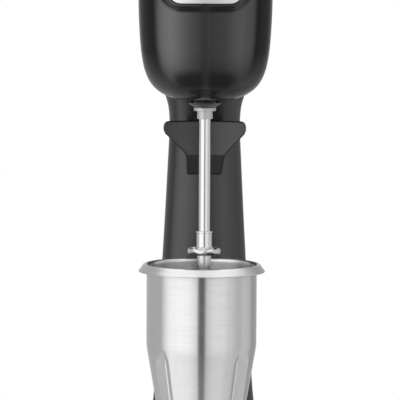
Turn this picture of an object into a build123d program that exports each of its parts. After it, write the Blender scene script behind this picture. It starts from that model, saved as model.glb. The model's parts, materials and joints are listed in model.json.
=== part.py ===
from build123d import *
import math
import os

# Single-spindle milkshake mixer: a pebble-shaped base, a tapering column, an egg-shaped motor head
# that overhangs it, a spindle with two agitators, a cup hook with a cup-sensing button, and a
# steel cup. Millimetres, +Z up, front is -Y, origin on the floor under the middle of the base.

os.makedirs("parts", exist_ok=True)

# ================================================================ driving dimensions
AXIS_Y = -34.0        # y of the spindle axis, which stands at x = 0
BASE_W, BASE_D = 170.0, 196.0
BASE_STRETCH = BASE_D / BASE_W
FOOT_H = 4.0
STAND_WALL = 2.8      # wall of base, column and neck
HEAD_Z = 328.5        # underside of the head
HEAD_R = 56.8         # half width of the head
HEAD_BACK = 81.0      # y of the head's back
HEAD_WALL = 2.6
NECK_Z = 326.0        # joint plane between column and head
NECK_TOP = 386.0      # last section of the column, inside the head
CAP_Z = 456.0         # seam between head shell and top cap
SEAT_Z = 15.5         # where the cup stands
CORD_X, CORD_Z = 0.0, 34.0
BUTTON_Z = 288.0      # height of the cup-sensing button

# Head profile: (radius, height above its underside)
HEAD_PROFILE = [
    (0, 0), (20, 0.15), (28, 1.0), (33.5, 3.0), (38.2, 5.8), (41.5, 8.3), (45.1, 12.1),
    (47.9, 16.4), (51.3, 24.6), (53.25, 33), (54.5, 41.5), (55.6, 54), (56.3, 67),
    (HEAD_R, 84), (56.7, 98), (55.6, 114), (52.4, 131), (46.5, 144), (37.5, 153),
    (25, 158.8), (12, 161.1), (0, 161.5),
]

# Column sections: (z, half width, half depth, centre y)
COLUMN_SECTIONS = [
    (16, 62, 41.5, 46.5), (20, 57, 38.5, 48.5), (25, 52.5, 36, 50.5), (33, 48.8, 34, 52.5),
    (45, 46.0, 32.8, 54), (61, 44.0, 31.8, 54.8), (120, 40.2, 30, 55.3), (184, 36.6, 28.3, 55.5),
    (235, 33.8, 27.3, 55.5), (283, 31.4, 26.6, 55.5), (303, 30.8, 26.4, 55.5),
    (314, 31.5, 26.9, 55.3), (320, 32.6, 27.5, 54.8), (326, 34.4, 28.3, 54.0),
    (335, 36.2, 29.2, 52.8), (346, 36.0, 29.1, 51.2), (357, 34.2, 28.2, 49.3),
    (369, 30.0, 25.2, 45.0), (NECK_TOP, 23.0, 19.5, 40.0),
]

# Base sections: (half width, z)
BASE_SECTIONS = [
    (BASE_W / 2, FOOT_H), (85.2, 7.0), (84.4, 10.2), (81.4, 13.8), (76.0, 16.8), (67.0, 19.0),
    (52.0, 20.4),
]

# Places shared by several pieces: (x, y)
FEET = [(-52, -58), (52, -58), (-52, 62), (52, 62)]
PLATE_SCREWS = [(-30, -76), (30, -76), (-66, 8), (66, 8), (-24, 80), (24, 80)]
NECK_SCREWS = [(-21.5, 46), (21.5, 46), (-21.5, 64), (21.5, 64)]
# Places on the column: (x, z)
HOOK_SCREWS = [(-12, 272), (12, 272)]
# Rear cover screws at x = 0: (z, y of the head's seat, y of the tip)
COVER_SCREWS = [(76, 85.0, 71.0), (293, 80.7, 65.0)]
LEAD_HOLE_Y = 55      # opening for the leads between column and neck
LEAD_HOLE_RX, LEAD_HOLE_RY = 16, 13


# ================================================================ shape helpers
def xz_at(y):
    """Upright plane at y. Its normal is -Y, so a negative extrusion runs to the back."""
    return Plane.XZ.offset(-y)


def around_axis(radius, angles):
    """Points (x, y) on a circle about the spindle axis, angles in degrees from +X."""
    return [(radius * math.cos(math.radians(angle)),
             AXIS_Y + radius * math.sin(math.radians(angle))) for angle in angles]


def rod(radius, z0, z1, x=0.0, y=AXIS_Y):
    """An upright cylinder."""
    with BuildPart() as cylinder:
        with BuildSketch(Plane.XY.offset(z0)):
            with Locations((x, y)):
                Circle(radius)
        extrude(amount=z1 - z0)
    return cylinder.part


def rod_y(radius, y0, y1, x, z):
    """A cylinder along Y."""
    with BuildPart() as cylinder:
        with BuildSketch(xz_at(y0)):
            with Locations((x, z)):
                Circle(radius)
        extrude(amount=-(y1 - y0))
    return cylinder.part


def turned(points, x=0.0, y=AXIS_Y):
    """A turned part: a closed (radius, z) outline revolved about a vertical axis."""
    with BuildPart() as solid:
        with BuildSketch(Plane.XZ):
            with BuildLine():
                Polyline(*points, close=True)
            make_face()
        revolve(axis=Axis.Z)
    return solid.part.moved(Location((x, y, 0)))


def tube(inner, outer, z0, z1):
    """A plain ring about the spindle axis."""
    return turned([(inner, z0), (outer, z0), (outer, z1), (inner, z1)])


def block(x0, x1, y0, y1, z0, z1):
    """A box between two corners; each pair may come in either order."""
    with BuildPart() as box:
        with Locations(((x0 + x1) / 2, (y0 + y1) / 2, (z0 + z1) / 2)):
            Box(abs(x1 - x0), abs(y1 - y0), abs(z1 - z0))
    return box.part


def rounded_prism(width, height, corner, z, y0, y1):
    """A rounded rectangle centred on (0, z), extruded along Y."""
    with BuildPart() as prism:
        with BuildSketch(xz_at(y0)):
            with Locations((0, z)):
                RectangleRounded(width, height, corner)
        extrude(amount=-(y1 - y0))
    return prism.part


def coil_spring(radius, pitch, height, wire_radius, start, direction):
    """A helical spring that begins at start and runs along direction."""
    with BuildPart() as spring:
        with BuildLine() as path:
            Helix(pitch=pitch, height=height, radius=radius, center=start, direction=direction)
        with BuildSketch(Plane(origin=path.line @ 0, z_dir=path.line % 0)):
            Circle(wire_radius)
        sweep(is_frenet=True)
    return spring.part


def screw_y(x, z, y_tip, y_head, head_height=2.2):
    """A pan-head screw along Y. Its head starts at y_head and stands towards +Y."""
    with BuildPart() as screw:
        add(rod_y(3.4, y_head, y_head + head_height, x, z))
        add(rod_y(1.6, y_tip, y_head, x, z))
        with BuildSketch(xz_at(y_head + head_height)):
            with Locations((x, z)):
                Rectangle(4.2, 0.8)
                Rectangle(0.8, 4.2)
        extrude(amount=1.2, mode=Mode.SUBTRACT)
    return screw.part


def screw_z(x, y, z_tip, z_head, radius=1.6, head_radius=3.4, head_height=2.2):
    """A pan-head screw along Z, with its head at z_head, standing away from the tip."""
    up = 1 if z_head > z_tip else -1
    z_end = z_head + up * head_height
    with BuildPart() as screw:
        add(rod(radius, z_tip, z_head, x, y))
        add(rod(head_radius, z_head, z_end, x, y))
        with BuildSketch(Plane.XY.offset(z_end)):
            with Locations((x, y)):
                Rectangle(4.0, 0.8)
                Rectangle(0.8, 4.0)
        extrude(amount=-up * 1.1, mode=Mode.SUBTRACT)
    return screw.part


def save(part, name):
    part.label = name
    export_step(part, f"parts/{name}.step")


# ================================================================ body forms
def inset(points, depth):
    """The profile moved inwards by depth, along its normals; its ends stay on the axis."""
    moved = []
    last = len(points) - 1
    for i, (radius, height) in enumerate(points):
        if i == 0:
            moved.append((0, height + depth))
        elif i == last:
            moved.append((0, height - depth))
        else:
            r0, h0 = points[i - 1]
            r1, h1 = points[i + 1]
            dr, dh = r1 - r0, h1 - h0
            length = math.hypot(dr, dh)
            moved.append((radius - dh / length * depth, height + dr / length * depth))
    return moved


def head_egg(depth):
    """The head as a solid, shrunk by depth: round front half, long back half."""
    points = inset(HEAD_PROFILE, depth)
    stretch = (HEAD_BACK - depth - AXIS_Y) / max(point[0] for point in points)
    with BuildPart() as whole:
        with BuildSketch(Plane.XZ):
            with BuildLine():
                Spline(*points, tangents=((1, 0), (-1, 0)))
                Line(points[-1], points[0])
            make_face()
        revolve(axis=Axis.Z)
    halves = [whole.part.split(Plane.XZ, keep=side) for side in (Keep.TOP, Keep.BOTTOM)]
    front, rear = sorted(halves, key=lambda half: half.center().Y)
    with BuildPart() as both:
        add(front)
        add(rear.scale((1, stretch, 1), about=(0, 0, 0)))
    return both.part.moved(Location((0, AXIS_Y, HEAD_Z)))


def column(grow, z_low, z_high):
    """The column as one smooth loft, grown by `grow`, cut at the heights (z_low may be None)."""
    with BuildPart() as lofted:
        for z, half_width, half_depth, centre_y in COLUMN_SECTIONS:
            with BuildSketch(Plane.XY.offset(z)):
                with Locations((0, centre_y)):
                    Ellipse(half_width + grow, half_depth + grow)
        loft()
        if z_low is not None:
            split(bisect_by=Plane.XY.offset(z_low), keep=Keep.TOP)
        split(bisect_by=Plane.XY.offset(z_high), keep=Keep.BOTTOM)
    return lofted.part


def base_dome(depth):
    """The pebble of the base as a loft of ellipses, shrunk by depth."""
    with BuildPart() as dome:
        for radius, z in BASE_SECTIONS:
            with BuildSketch(Plane.XY.offset(z - depth * 0.95)):
                Ellipse(radius - depth, (radius - depth) * BASE_STRETCH)
        loft()
    return dome.part


# ================================================================ stand: base and column
COVER_W, COVER_CORNER = 42.0, 9.0
COVER_Z0, COVER_Z1 = 64.0, 300.0
COVER_GAP = 0.35      # gap around the rear cover
COVER_WALL = 2.6
COVER_Y0, COVER_Y1 = 60, 110     # span of the cutters through the column's back
RECESS_R = 81.5       # half width of the recess for the base plate

with BuildPart() as stand:
    add(base_dome(0))
    add(column(0, None, NECK_Z))
    add(base_dome(STAND_WALL), mode=Mode.SUBTRACT)
    add(column(-STAND_WALL, 17, NECK_Z - 3.5), mode=Mode.SUBTRACT)
    # floor of the cup seat, then the recess that the cup stands in
    add(rod(36.5, SEAT_Z - STAND_WALL, SEAT_Z + 2.0))
    add(rod(33.5, SEAT_Z, SEAT_Z + 20), mode=Mode.SUBTRACT)
    # bosses for the base plate's screws
    with BuildSketch(Plane.XY.offset(FOOT_H + 4)):
        with Locations(*PLATE_SCREWS):
            Circle(4.2)
    extrude(amount=8.0)
    # opening in the column's top flange for the leads, and its four screw holes
    with BuildSketch(Plane.XY.offset(NECK_Z - 3.6)):
        with Locations((0, LEAD_HOLE_Y)):
            Ellipse(LEAD_HOLE_RX, LEAD_HOLE_RY)
        with Locations(*NECK_SCREWS):
            Circle(2.2)
    extrude(amount=4, mode=Mode.SUBTRACT)
    # screw holes up into the base bosses
    with BuildSketch(Plane.XY.offset(FOOT_H - 1)):
        with Locations(*PLATE_SCREWS):
            Circle(1.6)
    extrude(amount=8.5, mode=Mode.SUBTRACT)
    # recess on the underside that takes the base plate
    with BuildSketch(Plane.XY.offset(FOOT_H - 0.5)):
        Ellipse(RECESS_R, RECESS_R * BASE_STRETCH)
    extrude(amount=0.5 + 4.0, mode=Mode.SUBTRACT)
    # cord entry at the foot of the column's back
    add(rod_y(5.0, 70, 100, CORD_X, CORD_Z), mode=Mode.SUBTRACT)
    # holes through the column's front wall for the button and the hook's screws
    add(rod_y(5.0, 20, 40, 0, BUTTON_Z), mode=Mode.SUBTRACT)
    for x, z in HOOK_SCREWS:
        add(rod_y(2.2, 20, 40, x, z), mode=Mode.SUBTRACT)


def cover_cutter(gap):
    """The outline of the rear cover, grown by gap all round, run through the column's back."""
    return rounded_prism(COVER_W + 2 * gap, COVER_Z1 - COVER_Z0 + 2 * gap, COVER_CORNER + gap,
                         (COVER_Z0 + COVER_Z1) / 2, COVER_Y0, COVER_Y1)


with BuildPart() as stand_shell:
    add(stand.part)
    add(cover_cutter(COVER_GAP), mode=Mode.SUBTRACT)
    # two bridges inside the column that carry the rear cover's screws
    add(block(-30.5, 30.5, 70.5, 76.5, 73, 79))
    add(block(-24, 24, 64, 70, 290, 296))
    for z, seat_y, tip_y in COVER_SCREWS:
        add(rod_y(1.62, COVER_Y0, COVER_Y0 + 18, 0, z), mode=Mode.SUBTRACT)
save(stand_shell.part, "stand_shell")

# rear cover: a piece of the column's own wall
with BuildPart() as wall_ring:
    add(column(0, COVER_Z0 - 2, COVER_Z1 + 2))
    add(column(-COVER_WALL, COVER_Z0 - 3, COVER_Z1 + 3), mode=Mode.SUBTRACT)
with BuildPart() as rear_cover:
    add(wall_ring.part)
    add(cover_cutter(0), mode=Mode.INTERSECT)
    for z, seat_y, tip_y in COVER_SCREWS:
        add(rod_y(2.0, COVER_Y0, COVER_Y1, 0, z), mode=Mode.SUBTRACT)
        add(rod_y(3.9, seat_y, seat_y + 10, 0, z), mode=Mode.SUBTRACT)
save(rear_cover.part, "column_rear_cover")

# ================================================================ head shell, cap and name plate
MOUNTS = around_axis(29, (45, 135, 225, 315))    # the motor's rubber mounts
BADGE_Z = 424.6
PAD_R = 75.0                     # the pad's face is a cylinder of this radius
PAD_CENTRE_Y = AXIS_Y - 57.9 + PAD_R
PAD_Z0, PAD_Z1 = BADGE_Z - 30, BADGE_Z + 30
SWITCH_Y, SWITCH_Z = -8.0, 434.0     # speed switch on the right side of the head


def badge_prism(width, height, corner):
    """A rounded rectangle around the badge's centre, reaching out through the head's front."""
    return rounded_prism(width, height, corner, BADGE_Z, -60, -105)


# badge pad: a slightly flatter facet on the front of the head
with BuildPart() as badge_pad:
    add(badge_prism(66.5, 31.5, 12.5))
    add(rod(PAD_R, PAD_Z0, PAD_Z1, 0, PAD_CENTRE_Y), mode=Mode.INTERSECT)
with BuildPart() as badge_pocket:
    add(badge_prism(63.6, 28.6, 11.2))
    add(rod(PAD_R - 1.0, PAD_Z0, PAD_Z1, 0, PAD_CENTRE_Y), mode=Mode.SUBTRACT)

head_out = head_egg(0)
head_in = head_egg(HEAD_WALL)
with BuildPart() as head_body:
    add(head_out)
    add(column(0, NECK_Z, NECK_TOP))
    add(badge_pad.part)
    add(head_in, mode=Mode.SUBTRACT)
    add(column(-STAND_WALL, NECK_Z + 3.2, NECK_TOP - 2), mode=Mode.SUBTRACT)
    add(badge_pocket.part, mode=Mode.SUBTRACT)

with BuildPart() as head_shell:
    add(head_body.part)
    split(bisect_by=Plane.XY.offset(CAP_Z), keep=Keep.BOTTOM)
    # hole and collar for the shaft seal
    add(rod(12.5, HEAD_Z + 1.0, HEAD_Z + 8.0))
    add(rod(9.0, HEAD_Z - 2, HEAD_Z + 12), mode=Mode.SUBTRACT)
    # four bosses that carry the motor's rubber mounts
    for x, y in MOUNTS:
        add(rod(5.0, HEAD_Z + 1.2, HEAD_Z + 8.5, x, y))
        add(rod(2.0, HEAD_Z + 3.2, HEAD_Z + 12, x, y), mode=Mode.SUBTRACT)
    # lead opening and screw holes in the neck's bottom flange
    with BuildSketch(Plane.XY.offset(NECK_Z - 1)):
        with Locations((0, LEAD_HOLE_Y)):
            Ellipse(LEAD_HOLE_RX, LEAD_HOLE_RY)
        with Locations(*NECK_SCREWS):
            Circle(1.7)
    extrude(amount=6, mode=Mode.SUBTRACT)
    # flat seat and window for the speed switch
    add(block(HEAD_R - 2.0, 70, SWITCH_Y - 8.3, SWITCH_Y + 8.3, SWITCH_Z - 11.8, SWITCH_Z + 11.8),
        mode=Mode.SUBTRACT)
    add(block(40, 70, SWITCH_Y - 6.3, SWITCH_Y + 6.3, SWITCH_Z - 9.6, SWITCH_Z + 9.6),
        mode=Mode.SUBTRACT)
    # cooling slots at the back of the head
    with BuildSketch(xz_at(40)):
        for i in range(6):
            with Locations((0, 396 + 8 * i)):
                SlotOverall(30, 3.2)
    extrude(amount=-60, mode=Mode.SUBTRACT)
save(head_shell.part, "head_shell")

with BuildPart() as cap_lip:
    # the lip reaches down inside the shell, 0.2 clear of it
    add(head_egg(HEAD_WALL + 0.2))
    split(bisect_by=Plane.XY.offset(CAP_Z - 5), keep=Keep.TOP)
    split(bisect_by=Plane.XY.offset(CAP_Z + 0.8), keep=Keep.BOTTOM)
with BuildPart() as cap_root:
    # above the seam it grows out of the cap's own wall
    add(head_egg(HEAD_WALL - 0.8))
    split(bisect_by=Plane.XY.offset(CAP_Z + 0.4), keep=Keep.TOP)
    split(bisect_by=Plane.XY.offset(CAP_Z + 3), keep=Keep.BOTTOM)
    add(cap_lip.part)
    add(head_egg(HEAD_WALL + 1.8), mode=Mode.SUBTRACT)
with BuildPart() as head_cap:
    add(head_out)
    add(head_in, mode=Mode.SUBTRACT)
    split(bisect_by=Plane.XY.offset(CAP_Z + 0.4), keep=Keep.TOP)
    add(cap_root.part)
save(head_cap.part, "head_cap")

# name plate, blank, bent to the pad
with BuildPart() as name_plate:
    add(badge_prism(62.4, 27.4, 10.6))
    with BuildSketch(Plane.XY.offset(PAD_Z0)):
        with Locations((0, PAD_CENTRE_Y)):
            Circle(PAD_R + 0.25)
            Circle(PAD_R - 0.98, mode=Mode.SUBTRACT)
    extrude(amount=PAD_Z1 - PAD_Z0, mode=Mode.INTERSECT)
save(name_plate.part, "name_plate")

# ================================================================ cup hook and its screws
HOOK_R = 58.0         # concave face of the cup hook, about the spindle axis
HOOK_TOP = 306.2
HOOK_BOTTOM = 259.0
HOOK_FIT = 0.15       # gap between hook and column
# Front view of the hook below its rounded top corners, from left to right: (x, z)
HOOK_OUTLINE = [
    (-35.6, 301.5), (-35.6, 299.0), (-34.2, 295.6), (-18.0, 279.0), (-15.9, 273.5),
    (-15.9, HOOK_BOTTOM), (15.3, HOOK_BOTTOM), (16.4, 270.0), (18.6, 277.6), (34.4, 295.2),
    (35.6, 298.6), (35.6, 301.5),
]

with BuildPart() as hook_front:
    with BuildSketch(xz_at(-10)):
        with BuildLine():
            Polyline((-31.4, HOOK_TOP), (31.4, HOOK_TOP))
            RadiusArc((31.4, HOOK_TOP), HOOK_OUTLINE[-1], 4.5)
            Polyline(*reversed(HOOK_OUTLINE))
            RadiusArc(HOOK_OUTLINE[0], (-31.4, HOOK_TOP), 4.5)
        make_face()
    extrude(amount=-60)
hook_ring = turned([
    (HOOK_R, 277), (HOOK_R, 304.2), (HOOK_R + 0.6, 305.6), (HOOK_R + 1.8, HOOK_TOP),
    (HOOK_R + 3.4, HOOK_TOP), (HOOK_R + 4.6, 305.6), (HOOK_R + 5.2, 304.2),
    (HOOK_R + 5.2, HOOK_BOTTOM), (HOOK_R + 4.6, HOOK_BOTTOM),
])
# the stem fills the space between the curved ring and the column
with BuildPart() as hook_core:
    add(turned([
        (HOOK_R + 0.01, 277), (HOOK_R + 0.01, 300), (HOOK_R + 3, 303), (HOOK_R + 22, 303),
        (HOOK_R + 22, HOOK_BOTTOM), (HOOK_R + 4.6, HOOK_BOTTOM),
    ]))
    add(block(-17.5, 17.5, 10, 50, 250, 310), mode=Mode.INTERSECT)
with BuildPart() as hook_stem:
    add(hook_core.part)
    add(hook_front.part, mode=Mode.INTERSECT)
    add(column(HOOK_FIT, 240, 320), mode=Mode.SUBTRACT)
with BuildPart() as cup_hook:
    add(hook_ring)
    add(hook_front.part, mode=Mode.INTERSECT)
    add(block(-17, 17, 26.9, 50, 250, 310), mode=Mode.SUBTRACT)
    add(hook_stem.part)
    add(rod_y(4.15, 10, 50, 0, BUTTON_Z), mode=Mode.SUBTRACT)
    for x, z in HOOK_SCREWS:
        add(rod_y(1.6, 26, 46, x, z), mode=Mode.SUBTRACT)
save(cup_hook.part, "cup_hook")
save(Compound(children=[screw_y(x, z, 27.0, 35.6) for x, z in HOOK_SCREWS]), "cup_hook_screws")

# ================================================================ cup sensor
PIVOT_Y, PIVOT_Z = 50.5, 275     # pin of the microswitch lever
LEVER_TILT = 16.0
LEVER_LENGTH = 17.2
SHELF_Z = 266         # top of the bracket's shelf
BRACKET_Y0, BRACKET_Y1 = 43.0, 44.6    # front and back of the bracket's wall

# cup-sensing button: a guided plunger that the cup's wall pushes back
with BuildPart() as button:
    add(rod_y(4.07, 20.8, 32.8, 0, BUTTON_Z))
    add(rod_y(6.0, 32.7, 34.3, 0, BUTTON_Z))
    add(rod_y(2.4, 34.3, 45.3, 0, BUTTON_Z))
    fillet(button.edges().filter_by(GeomType.CIRCLE).group_by(Axis.Y)[0], 1.2)
save(button.part, "sensor_button")

# bracket: the wall the spring pushes on, the shelf that holds the microswitch, two side arms
with BuildPart() as sensor_bracket:
    add(block(-11, 11, BRACKET_Y0, BRACKET_Y1, SHELF_Z, 298))
    add(block(-11, 11, BRACKET_Y0, 66.0, 263.4, SHELF_Z))
    for side in (-1, 1):
        add(block(side * 11, side * 23.9, BRACKET_Y0, BRACKET_Y1, 282, 292))
    add(rod_y(2.48, 40, 48, 0, BUTTON_Z), mode=Mode.SUBTRACT)
save(sensor_bracket.part, "sensor_bracket")

save(coil_spring(radius=4.0, pitch=1.9, height=7.6, wire_radius=0.3,
                 start=(0, 34.75, BUTTON_Z), direction=(0, 1, 0)), "sensor_spring")

# microswitch body with two ears, and its lever on a pin
with BuildPart() as microswitch:
    add(block(-3.2, 3.2, 52.0, 62.0, 270, 290))
    add(block(-3.2, -2.3, 49.2, 52.0, PIVOT_Z - 2, PIVOT_Z + 2))
    add(block(2.3, 3.2, 49.2, 52.0, PIVOT_Z - 2, PIVOT_Z + 2))
    with BuildSketch(Plane.YZ.offset(-5)):
        with Locations((PIVOT_Y, PIVOT_Z)):
            Circle(0.85)
    extrude(amount=10, mode=Mode.SUBTRACT)
    # terminals
    for z in (273, 280, 287):
        add(block(-0.4, 0.4, 62.0, 66.0, z - 1.6, z + 1.6))
    # block that stands it on the bracket's shelf
    add(block(-3.2, 3.2, 53, 61, SHELF_Z, 270))
save(microswitch.part, "microswitch")

with BuildPart() as lever:
    with BuildSketch(Plane.YZ.offset(-1.9)):
        with Locations((PIVOT_Y, PIVOT_Z)):
            Circle(1.3)
    extrude(amount=3.8)
    with BuildSketch(Plane.YZ.offset(-3.3)):
        with Locations((PIVOT_Y, PIVOT_Z)):
            Circle(0.8)
    extrude(amount=6.6)
    with BuildSketch(Plane.YZ.offset(-1.9)):
        with Locations(Location((PIVOT_Y, PIVOT_Z), LEVER_TILT)):
            with Locations((0, LEVER_LENGTH / 2)):
                Rectangle(0.5, LEVER_LENGTH)
    extrude(amount=3.8)
save(lever.part, "microswitch_lever")


# ================================================================ speed switch
def switch_block(x0, x1, half_depth, half_height):
    """A box centred on the speed switch in y and z; x0 and x1 count from the head's side."""
    return block(HEAD_R + x0, HEAD_R + x1, SWITCH_Y - half_depth, SWITCH_Y + half_depth,
                 SWITCH_Z - half_height, SWITCH_Z + half_height)


with BuildPart() as switch_body:
    add(switch_block(-1.9, 0.3, 8.0, 11.4))
    add(switch_block(-17, -1.9, 6.1, 9.4))
    fillet(switch_body.edges().filter_by(Axis.X).group_by(Axis.X)[-1], 1.2)
    add(switch_block(-8.6, 5, 4.6, 8.0), mode=Mode.SUBTRACT)
    # terminals
    for z in (SWITCH_Z - 6, SWITCH_Z, SWITCH_Z + 6):
        add(block(HEAD_R - 23, HEAD_R - 17, SWITCH_Y - 2.4, SWITCH_Y + 2.4, z - 0.4, z + 0.4))
save(switch_body.part, "speed_switch_body")

ROCKER_X = HEAD_R - 3.6
ROCKER_HALF_W, ROCKER_HALF_H = 4.45, 6.9
rocker_low, rocker_high = SWITCH_Z - ROCKER_HALF_H, SWITCH_Z + ROCKER_HALF_H
with BuildPart() as rocker:
    with BuildSketch(xz_at(SWITCH_Y - ROCKER_HALF_W)):
        with BuildLine():
            Polyline((ROCKER_X + 0.2, rocker_low), (ROCKER_X + 5.7, rocker_low))
            ThreePointArc((ROCKER_X + 5.7, rocker_low), (ROCKER_X + 4.5, SWITCH_Z),
                          (ROCKER_X + 5.7, rocker_high))
            Polyline((ROCKER_X + 5.7, rocker_high), (ROCKER_X + 0.2, rocker_high),
                     (ROCKER_X - 2.4, SWITCH_Z + 2.0), (ROCKER_X - 2.4, SWITCH_Z - 2.0),
                     (ROCKER_X + 0.2, rocker_low))
        make_face()
    extrude(amount=-2 * ROCKER_HALF_W)
save(rocker.part, "speed_rocker")

# ================================================================ base plate, feet, screws
PLATE_R = 81.1        # half width of the base plate

with BuildPart() as base_plate:
    with BuildSketch(Plane.XY.offset(FOOT_H)):
        Ellipse(PLATE_R, PLATE_R * BASE_STRETCH)
        with Locations(*PLATE_SCREWS):
            Circle(2.0, mode=Mode.SUBTRACT)
        with Locations(*FEET):
            Circle(2.6, mode=Mode.SUBTRACT)
        with GridLocations(14, 9, 3, 3):
            SlotOverall(9, 3, mode=Mode.SUBTRACT)
    extrude(amount=3.8)
save(base_plate.part, "base_plate")

# each foot is a pad, a stem through the plate and a barb above it
with BuildPart() as feet:
    for x, y in FEET:
        add(turned([(0, 0), (8.2, 0), (9.2, 0.8), (9.6, 3.98), (0, 3.98)], x, y))
        add(rod(2.55, 3.9, 9.0, x, y))
        add(turned([(0, 8.0), (3.6, 8.0), (2.6, 9.6), (0, 9.6)], x, y))
save(feet.part, "rubber_feet")

save(Compound(children=[screw_z(x, y, 11.4, FOOT_H, head_height=1.6) for x, y in PLATE_SCREWS]),
     "base_plate_screws")
save(Compound(children=[screw_z(x, y, NECK_Z + 8.0, NECK_Z - 3.6) for x, y in NECK_SCREWS]),
     "neck_screws")
save(Compound(children=[screw_y(0, z, tip_y, seat_y + 0.01, head_height=1.8)
                        for z, seat_y, tip_y in COVER_SCREWS]), "rear_cover_screws")

# ================================================================ cord and plug
CORD_START = (CORD_X, 76, CORD_Z)
CORD_BEND = (CORD_X, 107, CORD_Z)      # where the straight piece ends
CORD_END = (28, 139, 7.6)              # where the plug begins
# Plug sections: (distance from the cord's end, width along Y, height, corner radius)
PLUG_SECTIONS = [(0, 9, 9, 4), (12, 14, 11, 4), (20, 28, 13.5, 5), (34, 34, 14, 5.5)]
PLUG_LENGTH = PLUG_SECTIONS[-1][0]

# (radius, distance along the cord from the collar's start), turned upright and laid along +Y
strain_relief = turned([
    (3.45, -6.4), (7.5, -6.4), (7.5, -4.4), (4.9, -4.4), (4.9, 0), (7.2, 0.2), (7.0, 3),
    (5.0, 18), (3.45, 18),
], 0, 0)
save(strain_relief.rotate(Axis.X, -90).moved(Location((CORD_X, 87.2, CORD_Z))), "strain_relief")

cord_path = Wire([
    Line(CORD_START, CORD_BEND),
    Spline(CORD_BEND, (3, 122, 27), (11, 133, 14), CORD_END, tangents=((0, 1, 0), (1, 0, 0))),
])
with BuildPart() as cord:
    with BuildSketch(Plane(origin=CORD_START, z_dir=(0, 1, 0))):
        Circle(3.3)
    sweep(path=cord_path)
save(cord.part, "power_cord")

plug_plane = Plane(origin=CORD_END, x_dir=(0, 1, 0), z_dir=(1, 0, 0))
with BuildPart() as plug:
    for distance, width, height, corner in PLUG_SECTIONS:
        with BuildSketch(plug_plane.offset(distance)):
            RectangleRounded(width, height, corner)
    loft()
save(plug.part, "plug_body")
with BuildPart() as pins:
    with BuildSketch(plug_plane.offset(PLUG_LENGTH)):
        with Locations((-9.3, 0), (9.3, 0)):
            Circle(2.0)
    extrude(amount=19)
    plug_axis = Axis(plug_plane.origin, plug_plane.z_dir)
    fillet(pins.edges().filter_by(GeomType.CIRCLE).sort_by(plug_axis)[-2:], 1.2)
save(pins.part, "plug_pins")

# ================================================================ motor, fixed parts
MOTOR_SHAFT_R = 4.0
BEARING_R, BEARING_H = 11.0, 7.0
HOUSING_R = 14.5                       # bearing housings
LOW_BEARING_Z = 339.4
PLATE_Z0, PLATE_Z1 = 343.0, 346.0      # motor mount plate
STACK_Z0, STACK_Z1 = 368.0, 402.0      # laminated cores of field and armature
BRACKET_Z = 428.5                      # underside of the top bracket
TOP_BEARING_Z = BRACKET_Z + 2.4
TIE_R = 33.8
TIES = around_axis(TIE_R, (25, 155, 205, 335))
POLE_HALF_ANGLE = 50
COMMUTATOR_Z0, COMMUTATOR_Z1 = 413.0, 425.0
COMMUTATOR_R = 11.0
BRUSH_Z = (COMMUTATOR_Z0 + COMMUTATOR_Z1) / 2

save(turned([(4.06, 332.4), (4.9, 331.6), (4.9, 329.6), (8.98, 329.6), (8.98, 336.0),
             (5.6, 336.0), (5.2, 333.4), (4.06, 333.4)]), "shaft_seal")

with BuildPart() as mount_plate:
    with BuildSketch(Plane.XY.offset(PLATE_Z0)):
        with Locations((0, AXIS_Y)):
            Circle(39.5)
            with PolarLocations(24, 6, start_angle=0):
                Circle(4.2, mode=Mode.SUBTRACT)
        with Locations(*MOUNTS):
            Circle(2.2, mode=Mode.SUBTRACT)
    extrude(amount=PLATE_Z1 - PLATE_Z0)
    # lower bearing housing
    add(rod(HOUSING_R, 337.5, PLATE_Z1 + 0.5))
    add(rod(BEARING_R, LOW_BEARING_Z, PLATE_Z1 + 2), mode=Mode.SUBTRACT)
    add(rod(8.4, 330, 340), mode=Mode.SUBTRACT)
save(mount_plate.part, "motor_mount_plate")

with BuildPart() as rubber_mounts:
    for x, y in MOUNTS:
        add(turned([(2.3, 337.0), (6.6, 337.0), (5.4, 340.0), (6.6, PLATE_Z0), (2.3, PLATE_Z0)],
                   x, y))
save(rubber_mounts.part, "motor_rubber_mounts")
save(Compound(children=[screw_z(x, y, 333.0, PLATE_Z1, radius=1.9, head_radius=3.8,
                                head_height=2.4) for x, y in MOUNTS]), "motor_mount_screws")

# field core: a ring with two poles, one to the front and one to the back
wedge_x = 60 * math.sin(math.radians(POLE_HALF_ANGLE))
wedge_y = 60 * math.cos(math.radians(POLE_HALF_ANGLE))
with BuildPart() as stator:
    with BuildSketch(Plane.XY.offset(STACK_Z0)):
        with Locations((0, AXIS_Y)):
            Circle(37.0)
            Circle(30.6, mode=Mode.SUBTRACT)
    extrude(amount=STACK_Z1 - STACK_Z0)
    with BuildSketch(Plane.XY.offset(STACK_Z0)):
        with Locations((0, AXIS_Y)):
            Circle(31.0)
            Circle(22.6, mode=Mode.SUBTRACT)
            with BuildSketch(mode=Mode.INTERSECT):
                for side in (1, -1):
                    with BuildLine():
                        Polyline((0, AXIS_Y), (wedge_x, AXIS_Y + side * wedge_y),
                                 (-wedge_x, AXIS_Y + side * wedge_y), close=True)
                    make_face()
    extrude(amount=STACK_Z1 - STACK_Z0)
    with BuildSketch(Plane.XY.offset(STACK_Z0)):
        with Locations(*TIES):
            Circle(2.1)
    extrude(amount=STACK_Z1 - STACK_Z0, mode=Mode.SUBTRACT)
save(stator.part, "field_core")


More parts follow.
